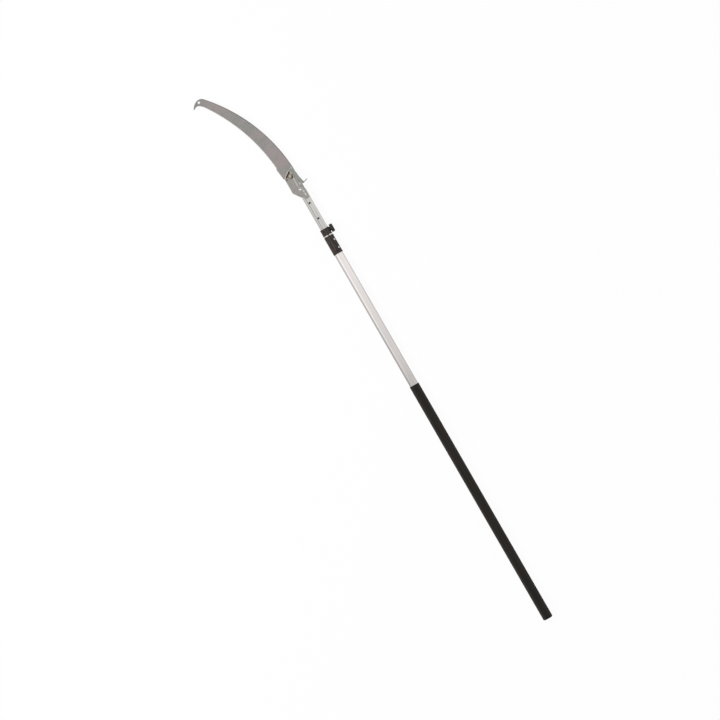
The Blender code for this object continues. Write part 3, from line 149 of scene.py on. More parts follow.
def filleted(corners, steps=4):
    """An outline from corners of x, y and the radius that rounds each of them."""
    points = []
    for index, (x, y, radius) in enumerate(corners):
        here = Vector((x, y))
        before = (Vector(corners[index - 1][:2]) - here).normalized()
        after = (Vector(corners[(index + 1) % len(corners)][:2]) - here).normalized()
        half = before.angle(after) / 2
        if not radius or half > math.radians(88):
            points.append((x, y))
            continue
        reach = radius / math.tan(half)
        first, last = here + before * reach, here + after * reach
        points += [tuple(first.lerp(here, t).lerp(here.lerp(last, t), t))
                   for t in (step / steps for step in range(steps + 1))]
    return points


def shift_points(points, x, y):
    return [(u + x, v + y) for u, v in points]


def coil(radius, low, high, turns, start_angle=0.0, steps=28):
    """Points up a coil about Z."""
    points = []
    for step in range(round(turns * steps) + 1):
        share = step / round(turns * steps)
        angle = start_angle + 2 * math.pi * turns * share
        points.append((radius * math.cos(angle), radius * math.sin(angle),
                       low + (high - low) * share))
    return points


def eased(points, rounds=3):
    """A line of points with its corners cut round."""
    for _ in range(rounds):
        line = [points[0]]
        for a, b in zip(points, points[1:]):
            line += [tuple((1 - t) * p + t * q for p, q in zip(a, b)) for t in (0.25, 0.75)]
        points = line + [points[-1]]
    return points


def from_segment(x, y, first, last):
    """Distance from a point to a straight line between two others."""
    run = Vector(last) - Vector(first)
    away = Vector((x, y)) - Vector(first)
    share = min(max(away.dot(run) / run.length_squared, 0.0), 1.0)
    return (away - run * share).length


def back_middle():
    """Centre of the arc along the blade's back."""
    first = math.radians(BACK_ANGLES[0])
    return (BACK_START[0] - BACK_RADIUS * math.cos(first),
            BACK_START[1] - BACK_RADIUS * math.sin(first))


def at_tip(across, along):
    """A place across and along the blade from the end of its back."""
    angle = math.radians(BACK_ANGLES[1])
    x, y = back_middle()
    return (x + (BACK_RADIUS + across) * math.cos(angle) - along * math.sin(angle),
            y + (BACK_RADIUS + across) * math.sin(angle) + along * math.cos(angle))


def edge_arc():
    """Centre of the toothed edge's arc and its angles at the heel and at the hook."""
    low, high = Vector((BOLT[0] - 25.2, BOLT[1] + 45.6)), Vector(at_tip(-22.6, -7.4))
    chord = high - low
    inward = Vector((-chord.y, chord.x)).normalized()
    centre = (low + high) / 2 + inward * math.sqrt(EDGE_RADIUS ** 2 - (chord.length / 2) ** 2)
    return centre, math.atan2(*(low - centre).yx), math.atan2(*(high - centre).yx)


TIP_HOLE = at_tip(-15.4, 10.7)


# ---------------------------------------------------------------- materials

def linear(text):
    """An sRGB hex colour as the linear colour that a shader takes."""
    values = [int(text[i:i + 2], 16) / 255 for i in (1, 3, 5)]
    return tuple(v / 12.92 if v <= 0.04045 else ((v + 0.055) / 1.055) ** 2.4
                 for v in values) + (1.0,)


def add_node(tree, kind, *numbered, output=None, **named):
    """Add a node and return one output, or the node where it has none.

    Values and links go to its sockets by number, or by a name with a capital. Other names are
    settings.
    """
    made = tree.nodes.new("ShaderNode" + kind)
    for name, value in named.items():
        if name[0].islower():
            setattr(made, name, value)
    sockets = list(zip(made.inputs, numbered))
    for name, value in named.items():
        if name[0].isupper():
            label = name.replace("_", " ")
            sockets.append((next(s for s in made.inputs if s.enabled and s.name == label), value))
    for socket, value in sockets:
        if isinstance(value, bpy.types.NodeSocket):
            tree.links.new(value, socket)
        else:
            socket.default_value = linear(value) if isinstance(value, str) else value
    return made.outputs[output] if output else next((s for s in made.outputs if s.enabled), made)


def emptied(owner):
    """Clear the nodes of a material or the world, and return what adds new ones."""
    owner.use_nodes = True
    owner.node_tree.nodes.clear()
    return functools.partial(add_node, owner.node_tree)


def start(name):
    """An empty material, what adds nodes to it, and its place on the object."""
    material = bpy.data.materials.new(name)
    add = emptied(material)
    return material, add, add("TexCoord", output="Object")


def grain(x, y, z):
    """The Mapping scale at which a pattern measures so many millimetres along each axis."""
    return (1 / (x * MM), 1 / (y * MM), 1 / (z * MM))


def mottle(add, place, size, detail=3.0, **noise):
    """Patches of a size in millimetres along each axis."""
    spots = add("Mapping", Vector=place, Scale=grain(*size))
    return add("TexNoise", Vector=spots, Scale=1.0, Detail=detail, **noise)


def near(add, place, middle, none, full, most=1.0):
    """A share that grows from nothing to its most between two distances from a point."""
    away = add("VectorMath", place, [value * MM for value in middle], operation="DISTANCE")
    return add("MapRange", Value=away, From_Min=none * MM, From_Max=full * MM, To_Max=most)


def beside(add, value, line, none, full, most=1.0):
    """The same by the distance of one coordinate from a line."""
    offset = add("Math", value, line * MM, operation="SUBTRACT")
    away = add("Math", offset, operation="ABSOLUTE")
    return add("MapRange", Value=away, From_Min=none * MM, From_Max=full * MM, To_Max=most)


def coat(add, under, over, value, none, full, most=1.0):
    """One colour over another, from nothing to its most as a value goes between two others."""
    share = add("MapRange", Value=value, From_Min=none, From_Max=full, To_Max=most)
    return add("Mix", Factor=share, A=under, B=over, data_type="RGBA")


def finish(material, add, colour, pattern, rough, relief=0.0, span=(0.35, 0.65), **surface):
    """Give a material its surface.

    A pattern sets its relief in millimetres and, over a span of its values, its roughness.
    """
    if isinstance(rough, tuple):
        rough = add("MapRange", Value=pattern, From_Min=span[0], From_Max=span[1],
                    To_Min=rough[0], To_Max=rough[1])
    if relief:
        surface["Normal"] = add("Bump", Height=pattern, Distance=relief * MM)
    shader = add("BsdfPrincipled", Base_Color=colour, Roughness=rough, **surface)
    add("OutputMaterial", Surface=shader)
    return material


def mottled(name, size, detail, dark, pale, rough, relief=0.0, full=0.65, **surface):
    """A material with one pattern, from a dark colour to a pale one."""
    material, add, place = start(name)
    pattern = mottle(add, place, size, detail)
    colour = coat(add, dark, pale, pattern, 0.35, full)
    return finish(material, add, colour, pattern, rough, relief, (0.0, 1.0), **surface)


# Draw, die, rolling and grinding lines and the moulds' eroded grain are drawn 0.7 to 1.2 mm wide.
# The real ones are a few times finer and wouldn't show.

def grip_rubber():
    # Extruded rubber sleeve: nearly black, dull, with a fine pebble and a dusty bloom along it; its
    # sides are painted paler as a sheen. The pebble is drawn at 1.1 mm; the real one is finer and
    # wouldn't show.
    material, add, place = start("extruded rubber")
    pebble = mottle(add, place, (1.1, 1.6, 1.1))
    bloom = mottle(add, place, (9, 170, 9), 5.0, Roughness=0.65)
    dusty = coat(add, "#191614", "#28241F", bloom, 0.35, 0.7)
    # painted sheen: the sleeve paler towards both sides
    sides = beside(add, add("SeparateXYZ", Vector=place, output="X"), 0, 7, 14, 0.45)
    colour = add("Mix", Factor=sides, A=dusty, B="#3F3C38", data_type="RGBA")
    return finish(material, add, colour, pebble, (0.6, 0.8), 0.12, (0.3, 0.7),
                  IOR=1.5, Specular_IOR_Level=0.2)


def anodised_aluminium():
    # Drawn tube with a clear satin anodised skin: pale, with faint draw lines and a faint warm and
    # cool cloud along it. A painted highlight runs along one shoulder and painted shade darkens its
    # sides;
    # it is painted darker towards the grip as shade, and painted shade darkens it under the
    # housing.
    material, add, place = start("satin anodised aluminium")
    x, y, _ = add("SeparateXYZ", Vector=place).node.outputs
    lines = mottle(add, place, (1.2, 260, 1.2), 4.0)
    cloud = mottle(add, place, (14, 120, 14))
    # painted shade: darker towards the grip, paler towards the head
    lit_towards_head = add("MapRange", Value=y, From_Min=860 * MM, From_Max=1360 * MM)
    skin = add("Mix", Factor=lit_towards_head, A="#BDB9B6", B="#EBE7E4", data_type="RGBA")
    cloudy = coat(add, skin, "#E2D9D6", cloud, 0.38, 0.68, 0.5)
    # painted highlight along the left shoulder, fading towards the grip with the painted shade
    shoulder_highlight = add("Math", beside(add, x, -6.8, 3.2, 1.0, 0.85), lit_towards_head, operation="MULTIPLY")
    highlighted = add("Mix", Factor=shoulder_highlight, A=cloudy, B="#FAF8F6", data_type="RGBA")
    # painted shade: darker down both sides of the tube
    sides = beside(add, x, 0, 10.5, 13.5, 0.55)
    shouldered = add("Mix", Factor=sides, A=highlighted, B="#A5A09C", data_type="RGBA")
    # painted shade on the tube under the housing and just past its ends
    housing_shade = add("Math", y, 1422.0 * MM, 33.3 * MM, operation="COMPARE")
    colour = add("Mix", Factor=housing_shade, A=shouldered, B="#6A605A", data_type="RGBA")
    return finish(material, add, colour, lines, (0.3, 0.44), 0.012, Metallic=1.0)


def mill_aluminium():
    # Bare extruded tube: greyer than the anodised one, with die lines and streaks that the bush has
    # rubbed; painted shade darkens the channel's left corner and a ring round each index hole
    material, add, place = start("mill finish aluminium")
    x, y, z = add("SeparateXYZ", Vector=place).node.outputs
    lines = mottle(add, place, (0.7, 180, 0.7), 4.0)
    rubbed = mottle(add, place, (3, 90, 3), 4.0)
    streaked = coat(add, "#C8C6C2", "#D4D2CE", rubbed, 0.35, 0.65)
    from_first = add("Math", y, FIRST_HOLE * MM, operation="SUBTRACT")
    from_nearest = add("Math", from_first, HOLE_PITCH / 2 * MM, operation="PINGPONG")
    on_face = add("CombineXYZ", X=x, Y=from_nearest)
    in_front = add("Math", z, 0.0, operation="GREATER_THAN")
    # painted shade: a darker ring round each index hole on the front face
    round_hole = near(add, on_face, (0, 0, 0), 5.6, 3.4, 0.3)
    rings = add("Math", round_hole, in_front, operation="MULTIPLY")
    # painted shade along the channel's left corner, joined with the rings round the holes
    channel_and_hole_shade = add("Math", beside(add, x, -4.8, 1.8, 0.6, 0.6), rings, operation="MAXIMUM")
    colour = add("Mix", Factor=channel_and_hole_shade, A=streaked, B="#85827E", data_type="RGBA")
    return finish(material, add, colour, lines, (0.32, 0.46), 0.02, Metallic=1.0)


def moulded_nylon(name, deep, pale):
    # Glass-filled nylon from a spark-eroded mould: dull, with a fine grain and flow marks along the
    # pole. A painted shadow runs beside its middle and painted shade darkens its sides; it is paler
    # where it stands proudest, as wear and painted highlight, and paler on the lug between the two
    # mouldings
    material, add, place = start(name)
    x, y, z = add("SeparateXYZ", Vector=place).node.outputs
    eroded = mottle(add, place, (0.8, 0.8, 0.8))
    flow = mottle(add, place, (3, 24, 4), 5.0)
    skin = coat(add, deep, pale, flow, 0.36, 0.66)
    # paler where it stands proudest: wear and painted highlight
    proudest = add("MapRange", Value=z, From_Min=13.2 * MM, From_Max=19.2 * MM, To_Max=0.25)
    rub_and_highlight = add("Math", proudest, eroded, operation="MULTIPLY")
    rubbed = add("Mix", Factor=rub_and_highlight, A=skin, B="#77706B", data_type="RGBA")
    # painted shade: darker down the sides
    sides = add("MapRange", Value=z, From_Min=9.5 * MM, From_Max=2 * MM, To_Max=0.7)
    # painted shadow: a dark line beside the middle, joined with the painted shade of the sides
    dark = add("Math", beside(add, x, 2.3, 2.4, 1.0, 0.85), sides, operation="MAXIMUM")
    shaded = add("Mix", Factor=dark, A=rubbed, B="#0F0C0B", data_type="RGBA")
    on_lug = add("Math", y, 1456.3 * MM, 2.3 * MM, operation="COMPARE")
    colour = add("Mix", Factor=on_lug, A=shaded, B="#7A716A", data_type="RGBA")
    return finish(material, add, colour, eroded, (0.45, 0.65), 0.08, (0.3, 0.7),
                  IOR=1.53, Specular_IOR_Level=0.4)


def ground_saw_steel():
    # Cold-rolled saw steel, wheel ground: grey with soft straw-pink and green-grey heat patches,
    # greener halfway along and pinker at the heel, ground lines square to the blade's curve, darker
    # along its back and on the hook, fresh where the teeth were cut and where a nail has rubbed the
    # tip's hole
    material, add, place = start("ground saw steel")
    centre = (*edge_arc()[0], 0)
    local = add("VectorMath", place, [value * MM for value in centre], operation="SUBTRACT")
    x, y, _ = add("SeparateXYZ", Vector=local).node.outputs
    angle = add("Math", y, x, operation="ARCTAN2")
    along = add("Math", angle, EDGE_RADIUS * MM, operation="MULTIPLY")
    wheel = add("CombineXYZ", X=add("VectorMath", local, operation="LENGTH"), Y=along)
    lines = mottle(add, wheel, (26, 0.9, 26))
    heat = mottle(add, wheel, (60, 24, 60), 2.0)
    stains = mottle(add, wheel, (7, 4, 7), 4.0)
    halfway = near(add, place, (-80, 1925, 0), 85, 30, 0.14)
    heel = near(add, place, (-12, 1740, 0), 50, 15, 0.14)
    cooler = add("Math", heat, halfway, operation="ADD")
    tint = add("Math", cooler, heel, operation="SUBTRACT")
    film = coat(add, "#9C9292", "#8B8D89", tint, 0.36, 0.68)
    rolled = coat(add, film, "#A7A29F", stains, 0.42, 0.7, 0.5)
    back = near(add, place, (*back_middle(), 0), BACK_RADIUS - 4.0, BACK_RADIUS - 0.5, 0.6)
    hook = near(add, place, (*at_tip(-40, 18), 0), 34, 12, 0.4)
    either = add("Math", back, hook, operation="MAXIMUM")
    aged = add("Mix", Factor=either, A=rolled, B="#625D5A", data_type="RGBA")
    cut_edge = near(add, place, centre, EDGE_RADIUS + 1.0, EDGE_RADIUS - 0.8, 0.2)
    rim = near(add, place, (*TIP_HOLE, 0), 6.2, 4.5, 0.8)
    fresh = add("Math", cut_edge, rim, operation="MAXIMUM")
    colour = add("Mix", Factor=fresh, A=aged, B="#B4B1AD", data_type="RGBA")
    return finish(material, add, colour, lines, (0.3, 0.46), 0.012, Metallic=1.0)


def pressed_steel():
    # Pressed sheet with a dull zinc plate: grey, a shade greener beside the lever, with rolling
    # lines along it. It is rubbed bright round the two pole rivets, and painted brighter, as wear
    # and as painted highlight, on the bead and the slot's lip, down the bend below the bead, round
    # the see-through hole and where the lever and the leg of its spring slide. Brown painted shade
    # lies along the slot's lower side, and painted shade darkens the lever's foot and thumb tab.
    material, add, place = start("zinc plated sheet steel")
    x, y, z = add("SeparateXYZ", Vector=place).node.outputs
    lines = mottle(add, place, (1.0, 45, 1.0))
    cloud = mottle(add, place, (5, 9, 5), 5.0)
    side = add("MapRange", Value=x, From_Min=-12 * MM, From_Max=4 * MM)
    upper = add("MapRange", Value=y, From_Min=(HEAD + 12) * MM, From_Max=(HEAD + 36) * MM,
                To_Min=0.35)
    green = add("Math", side, upper, operation="MULTIPLY")
    plate = add("Mix", Factor=green, A="#9B9693", B="#93958F", data_type="RGBA")
    clouded = coat(add, plate, "#A8A5A1", cloud, 0.4, 0.72, 0.6)

    # wear and painted highlight on the tops of the bead and the slot's lip
    raised = add("MapRange", Value=z, From_Min=3.7 * MM, From_Max=4.1 * MM)
    not_lever = add("MapRange", Value=z, From_Min=5.6 * MM, From_Max=5.1 * MM)
    on_plate = add("MapRange", Value=y, From_Min=(HEAD + 19) * MM, From_Max=(HEAD + 22) * MM,
                   To_Max=0.85)
    ridge = add("Math", raised, not_lever, operation="MULTIPLY")
    ridges = add("Math", ridge, on_plate, operation="MULTIPLY")
    wide, tall, deep = 3.6, 12.5, 1e6    # the rubbed patch round the pole rivets, at any height
    oval = add("Mapping", Vector=place, Scale=grain(wide, tall, deep),
               Location=(-POLE_RIVETS[0][0] / wide, -(HEAD - 13) / tall, 0))
    tongue = add("MapRange", Value=add("VectorMath", oval, operation="LENGTH"),
                 From_Min=1.15, From_Max=0.7, To_Max=0.5)
    rub_and_highlight = add("Math", ridges, tongue, operation="MAXIMUM")
    # wear and painted highlights: patches by the bolt, at the lever's foot, at its eye and round
    # the see-through hole
    ragged_edge = mottle(add, place, (2.2, 0.7, 1), 4.0)
    for spot, reach, most in (((-4.6, 1698.9, 3.65), 4.6, 0.9), ((5.6, 1652.6, 3.65), 4.2, 0.7),
                              ((5.6, 1712.8, 3.65), 4.0, 0.5), ((*HANG_HOLE, 11.2), 6.6, 0.9)):
        away = add("VectorMath", place, [value * MM for value in spot], operation="DISTANCE")
        broken = add("Math", ragged_edge, 8 * MM, away, operation="MULTIPLY_ADD")
        patch = add("MapRange", Value=broken, From_Min=(reach + 4.0) * MM,
                    From_Max=(reach + 1.9) * MM, To_Max=most)
        rub_and_highlight = add("Math", rub_and_highlight, patch, operation="MAXIMUM")
    # wear and painted highlight down the bend below the bead
    below_bead = beside(add, x, BEAD[0][0], 2.6, 1.2, 0.5)
    in_front = add("Math", z, 0.0, operation="GREATER_THAN")
    on_bend = add("Math", beside(add, y, HEAD + 15, 11, 8), in_front, operation="MULTIPLY")
    run_down = add("Math", below_bead, on_bend, operation="MULTIPLY")
    rub_and_highlight = add("Math", rub_and_highlight, run_down, operation="MAXIMUM")
    rubbed = add("Mix", Factor=rub_and_highlight, A=clouded, B="#CBC7C1", data_type="RGBA")

    # brown painted shade along the slot's lower side
    along, up, middle = key_slot_axes()
    brown_shade = in_front
    for way, line, none, full in ((up, up.dot(middle) - 3.3, 3.6, 1.6),
                                  (along, along.dot(middle), 13.5, 9)):
        reach = add("VectorMath", place, (*way, 0), operation="DOT_PRODUCT")
        band = beside(add, reach, line, none, full, 0.85)
        brown_shade = add("Math", brown_shade, band, operation="MULTIPLY")
    below_slot_shaded = add("Mix", Factor=brown_shade, A=rubbed, B="#6E6053", data_type="RGBA")
    # painted shade darkens the lever's foot and thumb tab on the right
    colour = coat(add, below_slot_shaded, "#5E5A57", x, 12.5 * MM, 16 * MM, 0.35)
    return finish(material, add, colour, lines, (0.3, 0.46), 0.012, Metallic=1.0)


def yellow_zinc():
    # Yellow passivated zinc: pale straw, with faint pink and green tints where the film's thickness
    # changes; painted shadow darkens the bolt's right and lower side, and painted shade the washers
    material, add, place = start("yellow passivated zinc")
    film = mottle(add, place, (3.5, 3.5, 3.5), 4.0)
    drift = mottle(add, place, (5, 5, 5))
    straw = coat(add, "#B3A995", "#B5A99E", film, 0.35, 0.65)
    tinted = coat(add, straw, "#A2A08D", drift, 0.48, 0.7, 0.5)
    # painted shadow: darker towards the lower right of the bolt
    lean = Vector((0.83, -0.56, 0))
    middle = lean.dot(Vector((*BOLT, 0)))
    lower = add("VectorMath", place, lean, operation="DOT_PRODUCT")
    ragged_reach = add("Math", film, 7 * MM, lower, operation="MULTIPLY_ADD")
    run = add("MapRange", Value=ragged_reach, From_Min=(middle + 2.8) * MM,
              From_Max=(middle + 8.4) * MM, To_Max=0.95)
    # painted shade on the washers
    on_washers = beside(add, add("SeparateXYZ", Vector=place, output="Z"), 0, 6.8, 5.8, 0.62)
    brown_shade = add("Math", run, on_washers, operation="MAXIMUM")
    colour = add("Mix", Factor=brown_shade, A=tinted, B="#4C483B", data_type="RGBA")
    return finish(material, add, colour, film, (0.2, 0.4), 0.0, (0.0, 1.0), Metallic=1.0)


# ---------------------------------------------------------------- modelling tools, in millimetres

def let_go():
    """Leave edit mode and deselect everything."""
    if bpy.context.mode != "OBJECT":
        bpy.ops.object.mode_set(mode="OBJECT")
    bpy.ops.object.select_all(action="DESELECT")


def hold(*pieces):
    """Select only these pieces, the first of them active."""
    let_go()
    for piece in pieces:
        piece.select_set(True)
    bpy.context.view_layer.objects.active = pieces[0]


def settle(piece):
    """Move a piece's place and turn into its mesh."""
    hold(piece)
    bpy.ops.object.transform_apply(location=True, rotation=True, scale=True)


def begin(name, primitive, **settings):
    """A primitive at its place, named."""
    let_go()
    primitive(**settings)
    piece = bpy.context.object
    piece.name = piece.data.name = name
    settle(piece)
    return piece


def edit(piece, kind="FACE", test=None):
    """Go into edit mode with everything selected, or what a test of place and element picks."""
    hold(piece)
    bpy.ops.object.mode_set(mode="EDIT")
    bpy.ops.mesh.select_mode(type=kind)
    bpy.ops.mesh.select_all(action="SELECT" if test is None else "DESELECT")
    if test is None:
        return
    bm = bmesh.from_edit_mesh(piece.data)
    for item in bm.faces if kind == "FACE" else bm.edges:
        corners = [vert.co for vert in item.verts]
        item.select_set(bool(test(sum(corners, Vector()) / len(corners) / MM, item)))
    bmesh.update_edit_mesh(piece.data)


def pull(x=0.0, y=0.0, z=0.0):
    """Extrude what is selected."""
    bpy.ops.mesh.extrude_region_move(TRANSFORM_OT_translate={"value": (x * MM, y * MM, z * MM)})


def modify(piece, kind, **settings):
    """Add a modifier and apply it."""
    hold(piece)
    made = piece.modifiers.new(kind.title(), kind)
    for name, value in settings.items():
        setattr(made, name, value)
    bpy.ops.object.modifier_apply(modifier=made.name)


def close_up(piece):
    """Merge doubles and turn every face outwards."""
    edit(piece)
    bpy.ops.mesh.remove_doubles(threshold=0.001 * MM)
    bpy.ops.mesh.normals_make_consistent(inside=False)
    let_go()


def soften(piece, width, segments=2, angle=50):
    """Round every edge that is sharper than an angle."""
    modify(piece, "BEVEL", width=width * MM, segments=segments, limit_method="ANGLE",
           angle_limit=math.radians(angle))


def combine(piece, operation, others):
    for other in others:
        modify(piece, "BOOLEAN", object=other, operation=operation, solver="EXACT")
        bpy.data.objects.remove(other, do_unlink=True)
    close_up(piece)


def cut(piece, *cutters):
    combine(piece, "DIFFERENCE", cutters)


def weld(piece, *others):
    combine(piece, "UNION", others)


def gather(pieces):
    """One object of several that don't touch."""
    hold(*pieces)
    bpy.ops.object.join()
    return pieces[0]


def copy_of(piece, name):
    """A copy with its own mesh."""
    hold(piece)
    bpy.ops.object.duplicate()
    made = bpy.context.object
    made.name = made.data.name = name
    return made


def shift(piece, place=(0, 0, 0), tip=(0, 0, 0)):
    """Turn a piece about the origin, then move it."""
    piece.rotation_euler = tip
    piece.location = [value * MM for value in place]
    settle(piece)
    return piece


def at_corner(piece, y):
    """Stand a piece square on the outer pole's front right corner."""
    return shift(piece, (CORNER[0], y, CORNER[1]), (0, SCREW_TILT, 0))


def draw(name, points):
    """A line of edges pulled point after point out of a single vertex."""
    piece = begin(name, bpy.ops.mesh.primitive_plane_add, size=MM,
                  location=[value * MM for value in points[0]])
    edit(piece, "VERT")
    bpy.ops.mesh.merge(type="CENTER")
    for before, after in zip(points, points[1:]):
        pull(*[b - a for a, b in zip(before, after)])
    return piece


def slab(name, outline, low, high, axis="Z"):
    """A flat shape drawn square to an axis and pulled along it."""
    lay = {"X": lambda u, v: (low, u, v), "Y": lambda u, v: (u, low, v),
           "Z": lambda u, v: (u, v, low)}[axis]
    piece = draw(name, [lay(*point) for point in outline + outline[:1]])
    bpy.ops.mesh.select_all(action="SELECT")
    bpy.ops.mesh.remove_doubles(threshold=0.001 * MM)
    bpy.ops.mesh.edge_face_add()
    pull(**{axis.lower(): high - low})
    close_up(piece)
    return piece


def turn(name, profile, steps=48):
    """A solid of revolution about Z from a (radius, height) profile; a closed one makes a ring."""
    piece = draw(name, [(radius, 0, height) for radius, height in profile])
    bpy.ops.mesh.select_all(action="SELECT")
    bpy.ops.mesh.spin(steps=steps, angle=2 * math.pi, center=(0, 0, 0), axis=(0, 0, 1))
    close_up(piece)
    return piece


def rod(radius, low, high, steps=32):
    return turn("rod", [(0, low), (radius, low), (radius, high), (0, high)], steps)


def rounded_bar(name, section, start_y, end_y, segments=12):
    """A bar along Y whose section is a rectangle with round corners."""
    width, thick, corner = section
    middle = (0, start_y * MM, 0)
    piece = begin(name, bpy.ops.mesh.primitive_plane_add, size=MM, location=middle,
                  rotation=(math.pi / 2, 0, 0))
    edit(piece)
    bpy.ops.transform.resize(value=(width, 1, thick), center_override=middle)
    bpy.ops.mesh.bevel(offset=corner * MM, segments=segments, affect="VERTICES",
                       offset_type="OFFSET")
    bpy.ops.mesh.select_all(action="SELECT")
    pull(y=end_y - start_y)
    close_up(piece)
    return piece


def block(low, high):
    """A block between two corners, for cuts and welds."""
    middle = [(a + b) / 2 * MM for a, b in zip(low, high)]
    piece = begin("block", bpy.ops.mesh.primitive_cube_add, size=MM, location=middle)
    edit(piece)
    bpy.ops.transform.resize(value=[b - a for a, b in zip(low, high)], center_override=middle)
    let_go()
    return piece


def round_end(piece, y, offset, segments=4):
    """Round the edges that lie in one plane across the pole."""
    edit(piece, "EDGE", lambda middle, edge: max(abs(v.co.y / MM - y) for v in edge.verts) < 0.01)
    bpy.ops.mesh.bevel(offset=offset * MM, segments=segments, affect="EDGES")
    let_go()


def wire(name, points, radius):
    """A round wire along a line of points, closed at its ends."""
    hold(draw(name, points))
    bpy.ops.object.convert(target="CURVE")
    curve = bpy.context.object
    curve.data.bevel_depth = radius * MM
    curve.data.bevel_resolution = 3
    curve.data.use_fill_caps = True
    bpy.ops.object.convert(target="MESH")
    piece = bpy.context.object
    piece.name = piece.data.name = name
    close_up(piece)
    return piece


def crease(piece, through, square_to):
    """Cut every face along one upright plane, so that the sheet can bend there."""
    edit(piece)
    bpy.ops.mesh.bisect(plane_co=(through[0] * MM, through[1] * MM, 0), plane_no=(*square_to, 0))
    let_go()


def stain(piece, material, test):
    """A second material on the faces that a test picks."""
    piece.data.materials.append(material)
    edit(piece, "FACE", test)
    piece.active_material_index = len(piece.data.materials) - 1
    bpy.ops.object.material_slot_assign()
    let_go()


def dress(piece, body, slot, *nodes, material=None, smooth=35):
    """Finish a piece: smooth shading, its material, its body and the nodes that it stands for."""
    hold(piece)
    bpy.ops.object.shade_smooth_by_angle(angle=math.radians(smooth))
    modify(piece, "WEIGHTED_NORMAL", keep_sharp=True)
    piece.data.materials.clear()
    piece.data.materials.append(material or FINISHES[slot])
    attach(piece, body)
    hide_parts(*nodes)
    let_go()
    return piece


# ---------------------------------------------------------------- poles, grip and butt cap

def rivet_holes(low, high):
    return [shift(rod(RIVET_HOLE, low, high, 24), (*place, 0)) for place in POLE_RIVETS]


def make_outer_tube():
    tube = rounded_bar("outer_tube", OUTER, GRIP_START, TUBE_END, 16)
    soften(tube, 0.25, angle=60)
    holes = [at_corner(rod(SCREW_HOLE, 0, 12), y) for y in HOUSING_SCREWS]
    cut(tube, rounded_bar("bore", OUTER_BORE, 0, 1490, 16),
        slab("window", stadium((0, LATCH_NOSE_Y - 1), (0, LATCH_NOSE_Y), 3.0), 8, 13),
        shift(rod(CLAMP_HOLE, 13, 17), (0, CLAMP_Y, 0), TO_RIGHT),
        shift(rod(BACK_HOLE, 0, 14), (0, BACK_SCREW_Y, 0), TO_BACK), *holes)
    dress(tube, "handle", "satin_aluminium", "outer_pole")


def channel_bar(half, top, floor, low, high):
    """The bar that cuts the channel along the front face."""
    root = half - 0.6
    return slab("channel", [(half, top), (half, top + 2), (-half, top + 2), (-half, top),
                            (-root, floor), (root, floor)], low, high, "Y")


def in_inner_bore(middle, face):
    """The inside of the inner tube, but not its channel's underside."""
    from_core = math.hypot(max(abs(middle.x) - 6.9, 0), max(abs(middle.z) - 3.0, 0))
    under_channel = middle.z > 6.9 and abs(middle.x) < 5.3
    return abs(face.normal.y) < 0.1 and from_core < 5.9 and not under_channel


def make_inner_tube():
    tube = rounded_bar("inner_tube", INNER, 40, HEAD, 14)
    cut(tube, channel_bar(5.0, 9.6, 8.0, 30, 1640))
    soften(tube, 0.35, 3, 40)
    hollow = rounded_bar("hollow", INNER_BORE, 30, 1640)
    cut(hollow, channel_bar(6.2, 8.4, 6.8, 20, 1650))
    cut(tube, hollow)
    punch = shift(rod(3.25, 5, 12, 28), (0, FIRST_HOLE, 0))
    cut(tube, gather([punch] + [shift(copy_of(punch, "punch"), (0, -HOLE_PITCH * index, 0))
                                for index in range(1, HOLE_COUNT)]))
    cut(tube, *rivet_holes(-14, 14))
    dress(tube, "extension", "bare_aluminium", "inner_pole", smooth=30)
    stain(tube, BORE, in_inner_bore)


def make_grip():
    sleeve = rounded_bar("grip", GRIP, GRIP_START, GRIP_END, 16)
    round_end(sleeve, GRIP_END, 1.0)
    round_end(sleeve, GRIP_START, 0.25, 2)
    cut(sleeve, rounded_bar("bore", GRIP_BORE, 0, 900, 16))
    dress(sleeve, "handle", "grip_rubber", "grip_sleeve")


def make_butt_cap():
    cap = rounded_bar("butt_cap", GRIP, 0, 8, 16)
    round_end(cap, 8, 0.25, 2)
    round_end(cap, 0, 5.2, 8)
    weld(cap, rounded_bar("plug", INNER, 7, 30))
    gate = turn("gate", [(0, -1), (3.6, -1), (3.6, 0), (3.0, 0.7), (0, 0.7)])
    cut(cap, shift(gate, tip=TO_HEAD))
    dress(cap, "handle", "grip_rubber", "end_cap")


def make_plugs():
    """The nylon foot and head plug of the inner pole, and the bush at the outer pole's mouth."""
    foot = rounded_bar("pole_foot", INNER, 33.7, 39.7)
    soften(foot, 0.6, 3, 60)
    weld(foot, shift(rounded_bar("plug", INSERT, 39, 61.7), (0, 0, INSERT_DROP)))
    cut(foot, block((-8, 30, -5), (8, 56, 3)))
    dress(foot, "extension", "pale_nylon", "inner_foot")
    plug = shift(rounded_bar("head_insert", INSERT, HEAD - 34, HEAD - 0.3), (0, 0, INSERT_DROP))
    soften(plug, 0.4, 2, 60)
    cut(plug, *rivet_holes(-12, 12))
    dress(plug, "extension", "pale_nylon", "head_plug")
    bush = rounded_bar("mouth_bush", OUTER, TUBE_END + 0.3, MOUTH)
    round_end(bush, MOUTH, 0.4, 3)
    cut(bush, rounded_bar("hole", OUTER_BORE, 1470, 1490))
    dress(bush, "handle", "black_nylon", "guide_bush")


# ---------------------------------------------------------------- lock housing and latch

def finger_ribs(side, places, reach):
    """Short finger ribs across both sides of a moulding."""
    rib = block((-0.5, -0.9, -reach), (0.5, 0.9, reach))
    soften(rib, 0.4, 3)
    ribs = [shift(copy_of(rib, "rib"), (x, y, 0)) for y in places for x in (-side, side)]
    bpy.data.objects.remove(rib, do_unlink=True)
    return gather(ribs)


def lips(body, section, *ends):
    """A slightly proud rim at each end of a moulding."""
    weld(body, *[rounded_bar("lip", section, *end, 16) for end in ends])


